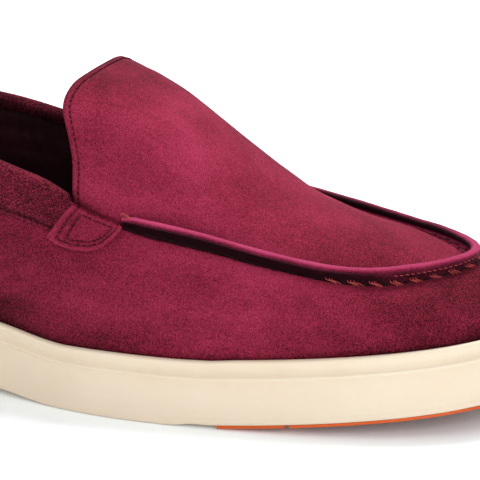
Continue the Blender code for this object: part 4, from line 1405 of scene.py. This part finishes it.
def lining_relief(seed, depth=0.0004):
    def relief(place, level):
        point = wall_point(place, np.maximum(level, 0.0) * np.ones_like(place))
        sag = depth * drift(point * np.array([0.4, 1.0, 1.6]), 0.016, seed)
        drop = (1.0 - level) * wall_length(place)
        folds = 0.5 * depth * np.sin(2.0 * math.pi * (drop + 0.0015 * drift(point, 0.05, 3)) / 0.0085)
        return np.minimum(sag + folds * bump(drop, 0.016, 0.013), 0.0001)
    return relief


def lining_parts():
    depth = -LINING_DEPTH
    wall_band("vamp_lining_skin", 6.5, STATIONS - 6.5, -0.97, 0.80, depth, LINING, LINING_LEATHER,
              ["vamp_lining"], rows=20, relief=lining_relief(61, 0.0002))
    wall_band("quarter_lining_skin_lateral", 1.1, 6.4, -0.97, 0.97, depth, LINING, LINING_LEATHER,
              ["quarter_lining_lateral"], 0.06, 44, lining_relief(62))
    wall_band("quarter_lining_skin_medial", STATIONS - 6.4, STATIONS - 1.1, -0.97, 0.97, depth, LINING,
              LINING_LEATHER, ["quarter_lining_medial"], 0.06, 44, lining_relief(63))
    wall_band("heel_grip_skin", -1.0, 1.0, -0.97, 0.97, depth, LINING, LINING_LEATHER,
              ["heel_grip"], 0.05, 34, lining_relief(64, 0.0002))

    def swell(place, level):
        edge = np.minimum(level - 0.64, 0.985 - level) * wall_length(place)
        return -0.0004 * (1.0 - smoothstep(0.0, 0.005, edge))

    pad = wall_band("collar_pad", -6.3, 6.3, 0.64, 0.985, -STIFFENER_DEPTH, STIFFENER, FOAM,
                    ["collar_foam"], 0.08, 16, swell)


def upper_parts():
    wall_band("vamp_suede", 0.03, STATIONS - 0.03, -1.0, 0.995, 0.0, SUEDE, SUEDE_MAIN,
              ["vamp_wall"], 0.035, 66, vamp_relief, vamp_shade)
    # The collar runs on under the tab, so that no gap shows between the two
    front = COLLAR_FRONT + COLLAR_OVERLAP
    collar("collar_suede_lateral", "collar_lateral", STRIP_HALF + 0.03, front)
    collar("collar_suede_medial", "collar_medial", STATIONS - front, STATIONS - STRIP_HALF - 0.03)
    heel_strip()
    tab("tab_suede_lateral", "tab_lateral", -1)
    tab("tab_suede_medial", "tab_medial", 1)
    seam_roll()


def dress_frame():
    """Materials for the CAD nodes that stay: stiffeners, felts, board and filler."""
    kept = {
        "sole_filler": FOAM, "insole_board": BOARD, "toe_puff": SHEET, "heel_counter": SHEET,
        "interlining_lateral": FELT, "interlining_medial": FELT,
    }
    for name, material in kept.items():
        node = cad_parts[name]
        node.data.materials.clear()
        node.data.materials.append(material)


# ---- Stage ----

def floor():
    """The white floor: slightly cool against the light from the shoe, and lit a little by itself."""
    n = Nodes("floor", 1.0)
    cloud = n.noise(2.0, 2.0)
    colour = n.ramp(cloud, (0.0, (0.88, 0.93, 0.945)), (1.0, (0.90, 0.95, 0.965)))
    material = n.finish(colour, 0.85, Specular_IOR_Level=0.0, Emission_Color=(1.0, 1.0, 1.0, 1.0),
                        Emission_Strength=0.08)
    mesh = bpy.data.meshes.new("floor")
    mesh.from_pydata([(-4, -4, 0), (4, -4, 0), (4, 4, 0), (-4, 4, 0)], [], [(0, 1, 2, 3)])
    mesh.materials.append(material)
    plane = bpy.data.objects.new("floor", mesh)
    bpy.context.scene.collection.objects.link(plane)
    plane.location.z = cad_box[0].z - 0.0001


def lamp(name, place, target, size, power, colour=(1.0, 1.0, 1.0)):
    data = bpy.data.lights.new(name, "AREA")
    data.shape = "DISK"
    data.size = size
    data.energy = power
    data.color = colour
    item = bpy.data.objects.new(name, data)
    bpy.context.scene.collection.objects.link(item)
    item.location = place
    item.rotation_mode = "QUATERNION"
    item.rotation_quaternion = (Vector(target) - Vector(place)).to_track_quat("-Z", "Y")


def stage():
    world = bpy.data.worlds.new("studio")
    world.use_nodes = True
    tree = world.node_tree
    way = tree.nodes.new("ShaderNodeTexCoord").outputs["Generated"]
    split = tree.nodes.new("ShaderNodeSeparateXYZ")
    ramp = tree.nodes.new("ShaderNodeValToRGB")
    stops = ((0.0, 0.15), (0.22, 0.52), (1.0, 0.90))
    while len(ramp.color_ramp.elements) < len(stops):
        ramp.color_ramp.elements.new(0.5)
    for element, (height, grey) in zip(ramp.color_ramp.elements, stops):
        element.position = height
        element.color = (grey, grey, grey, 1.0)
    tree.links.new(way, split.inputs["Vector"])
    tree.links.new(split.outputs["Z"], ramp.inputs["Fac"])
    tree.links.new(ramp.outputs["Color"], tree.nodes["Background"].inputs["Color"])
    bpy.context.scene.world = world
    floor()
    lamp("key", (1.1, -1.2, 0.9), (0.03, 0.0, 0.05), 0.9, 10.4)
    lamp("top", (-0.1, 0.7, 1.7), (0.03, 0.0, 0.05), 0.7, 30.0)
    lamp("fill", (-1.4, -1.3, 0.8), (0.0, 0.0, 0.05), 1.2, 2.4)
    bpy.context.scene.view_settings.view_transform = "Standard"
    bpy.context.scene.view_settings.look = "None"


def camera():
    data = bpy.data.cameras.new("camera")
    data.sensor_width = 36.0
    data.lens = 310.2
    data.clip_start, data.clip_end = 0.05, 20.0
    item = bpy.data.objects.new("camera", data)
    bpy.context.scene.collection.objects.link(item)
    target = Vector((0.03888, -0.00143, 0.05332))
    back = Vector((0.33813, -0.89343, 0.29571)).normalized()
    item.location = target + 1.46687 * back
    item.rotation_mode = "QUATERNION"
    item.rotation_quaternion = (-back).to_track_quat("-Z", "Y")
    bpy.context.scene.camera = item


camera()
sole_parts()
upper_parts()
apron_parts()
lining_parts()
thread_rows()
dress_frame()
stage()
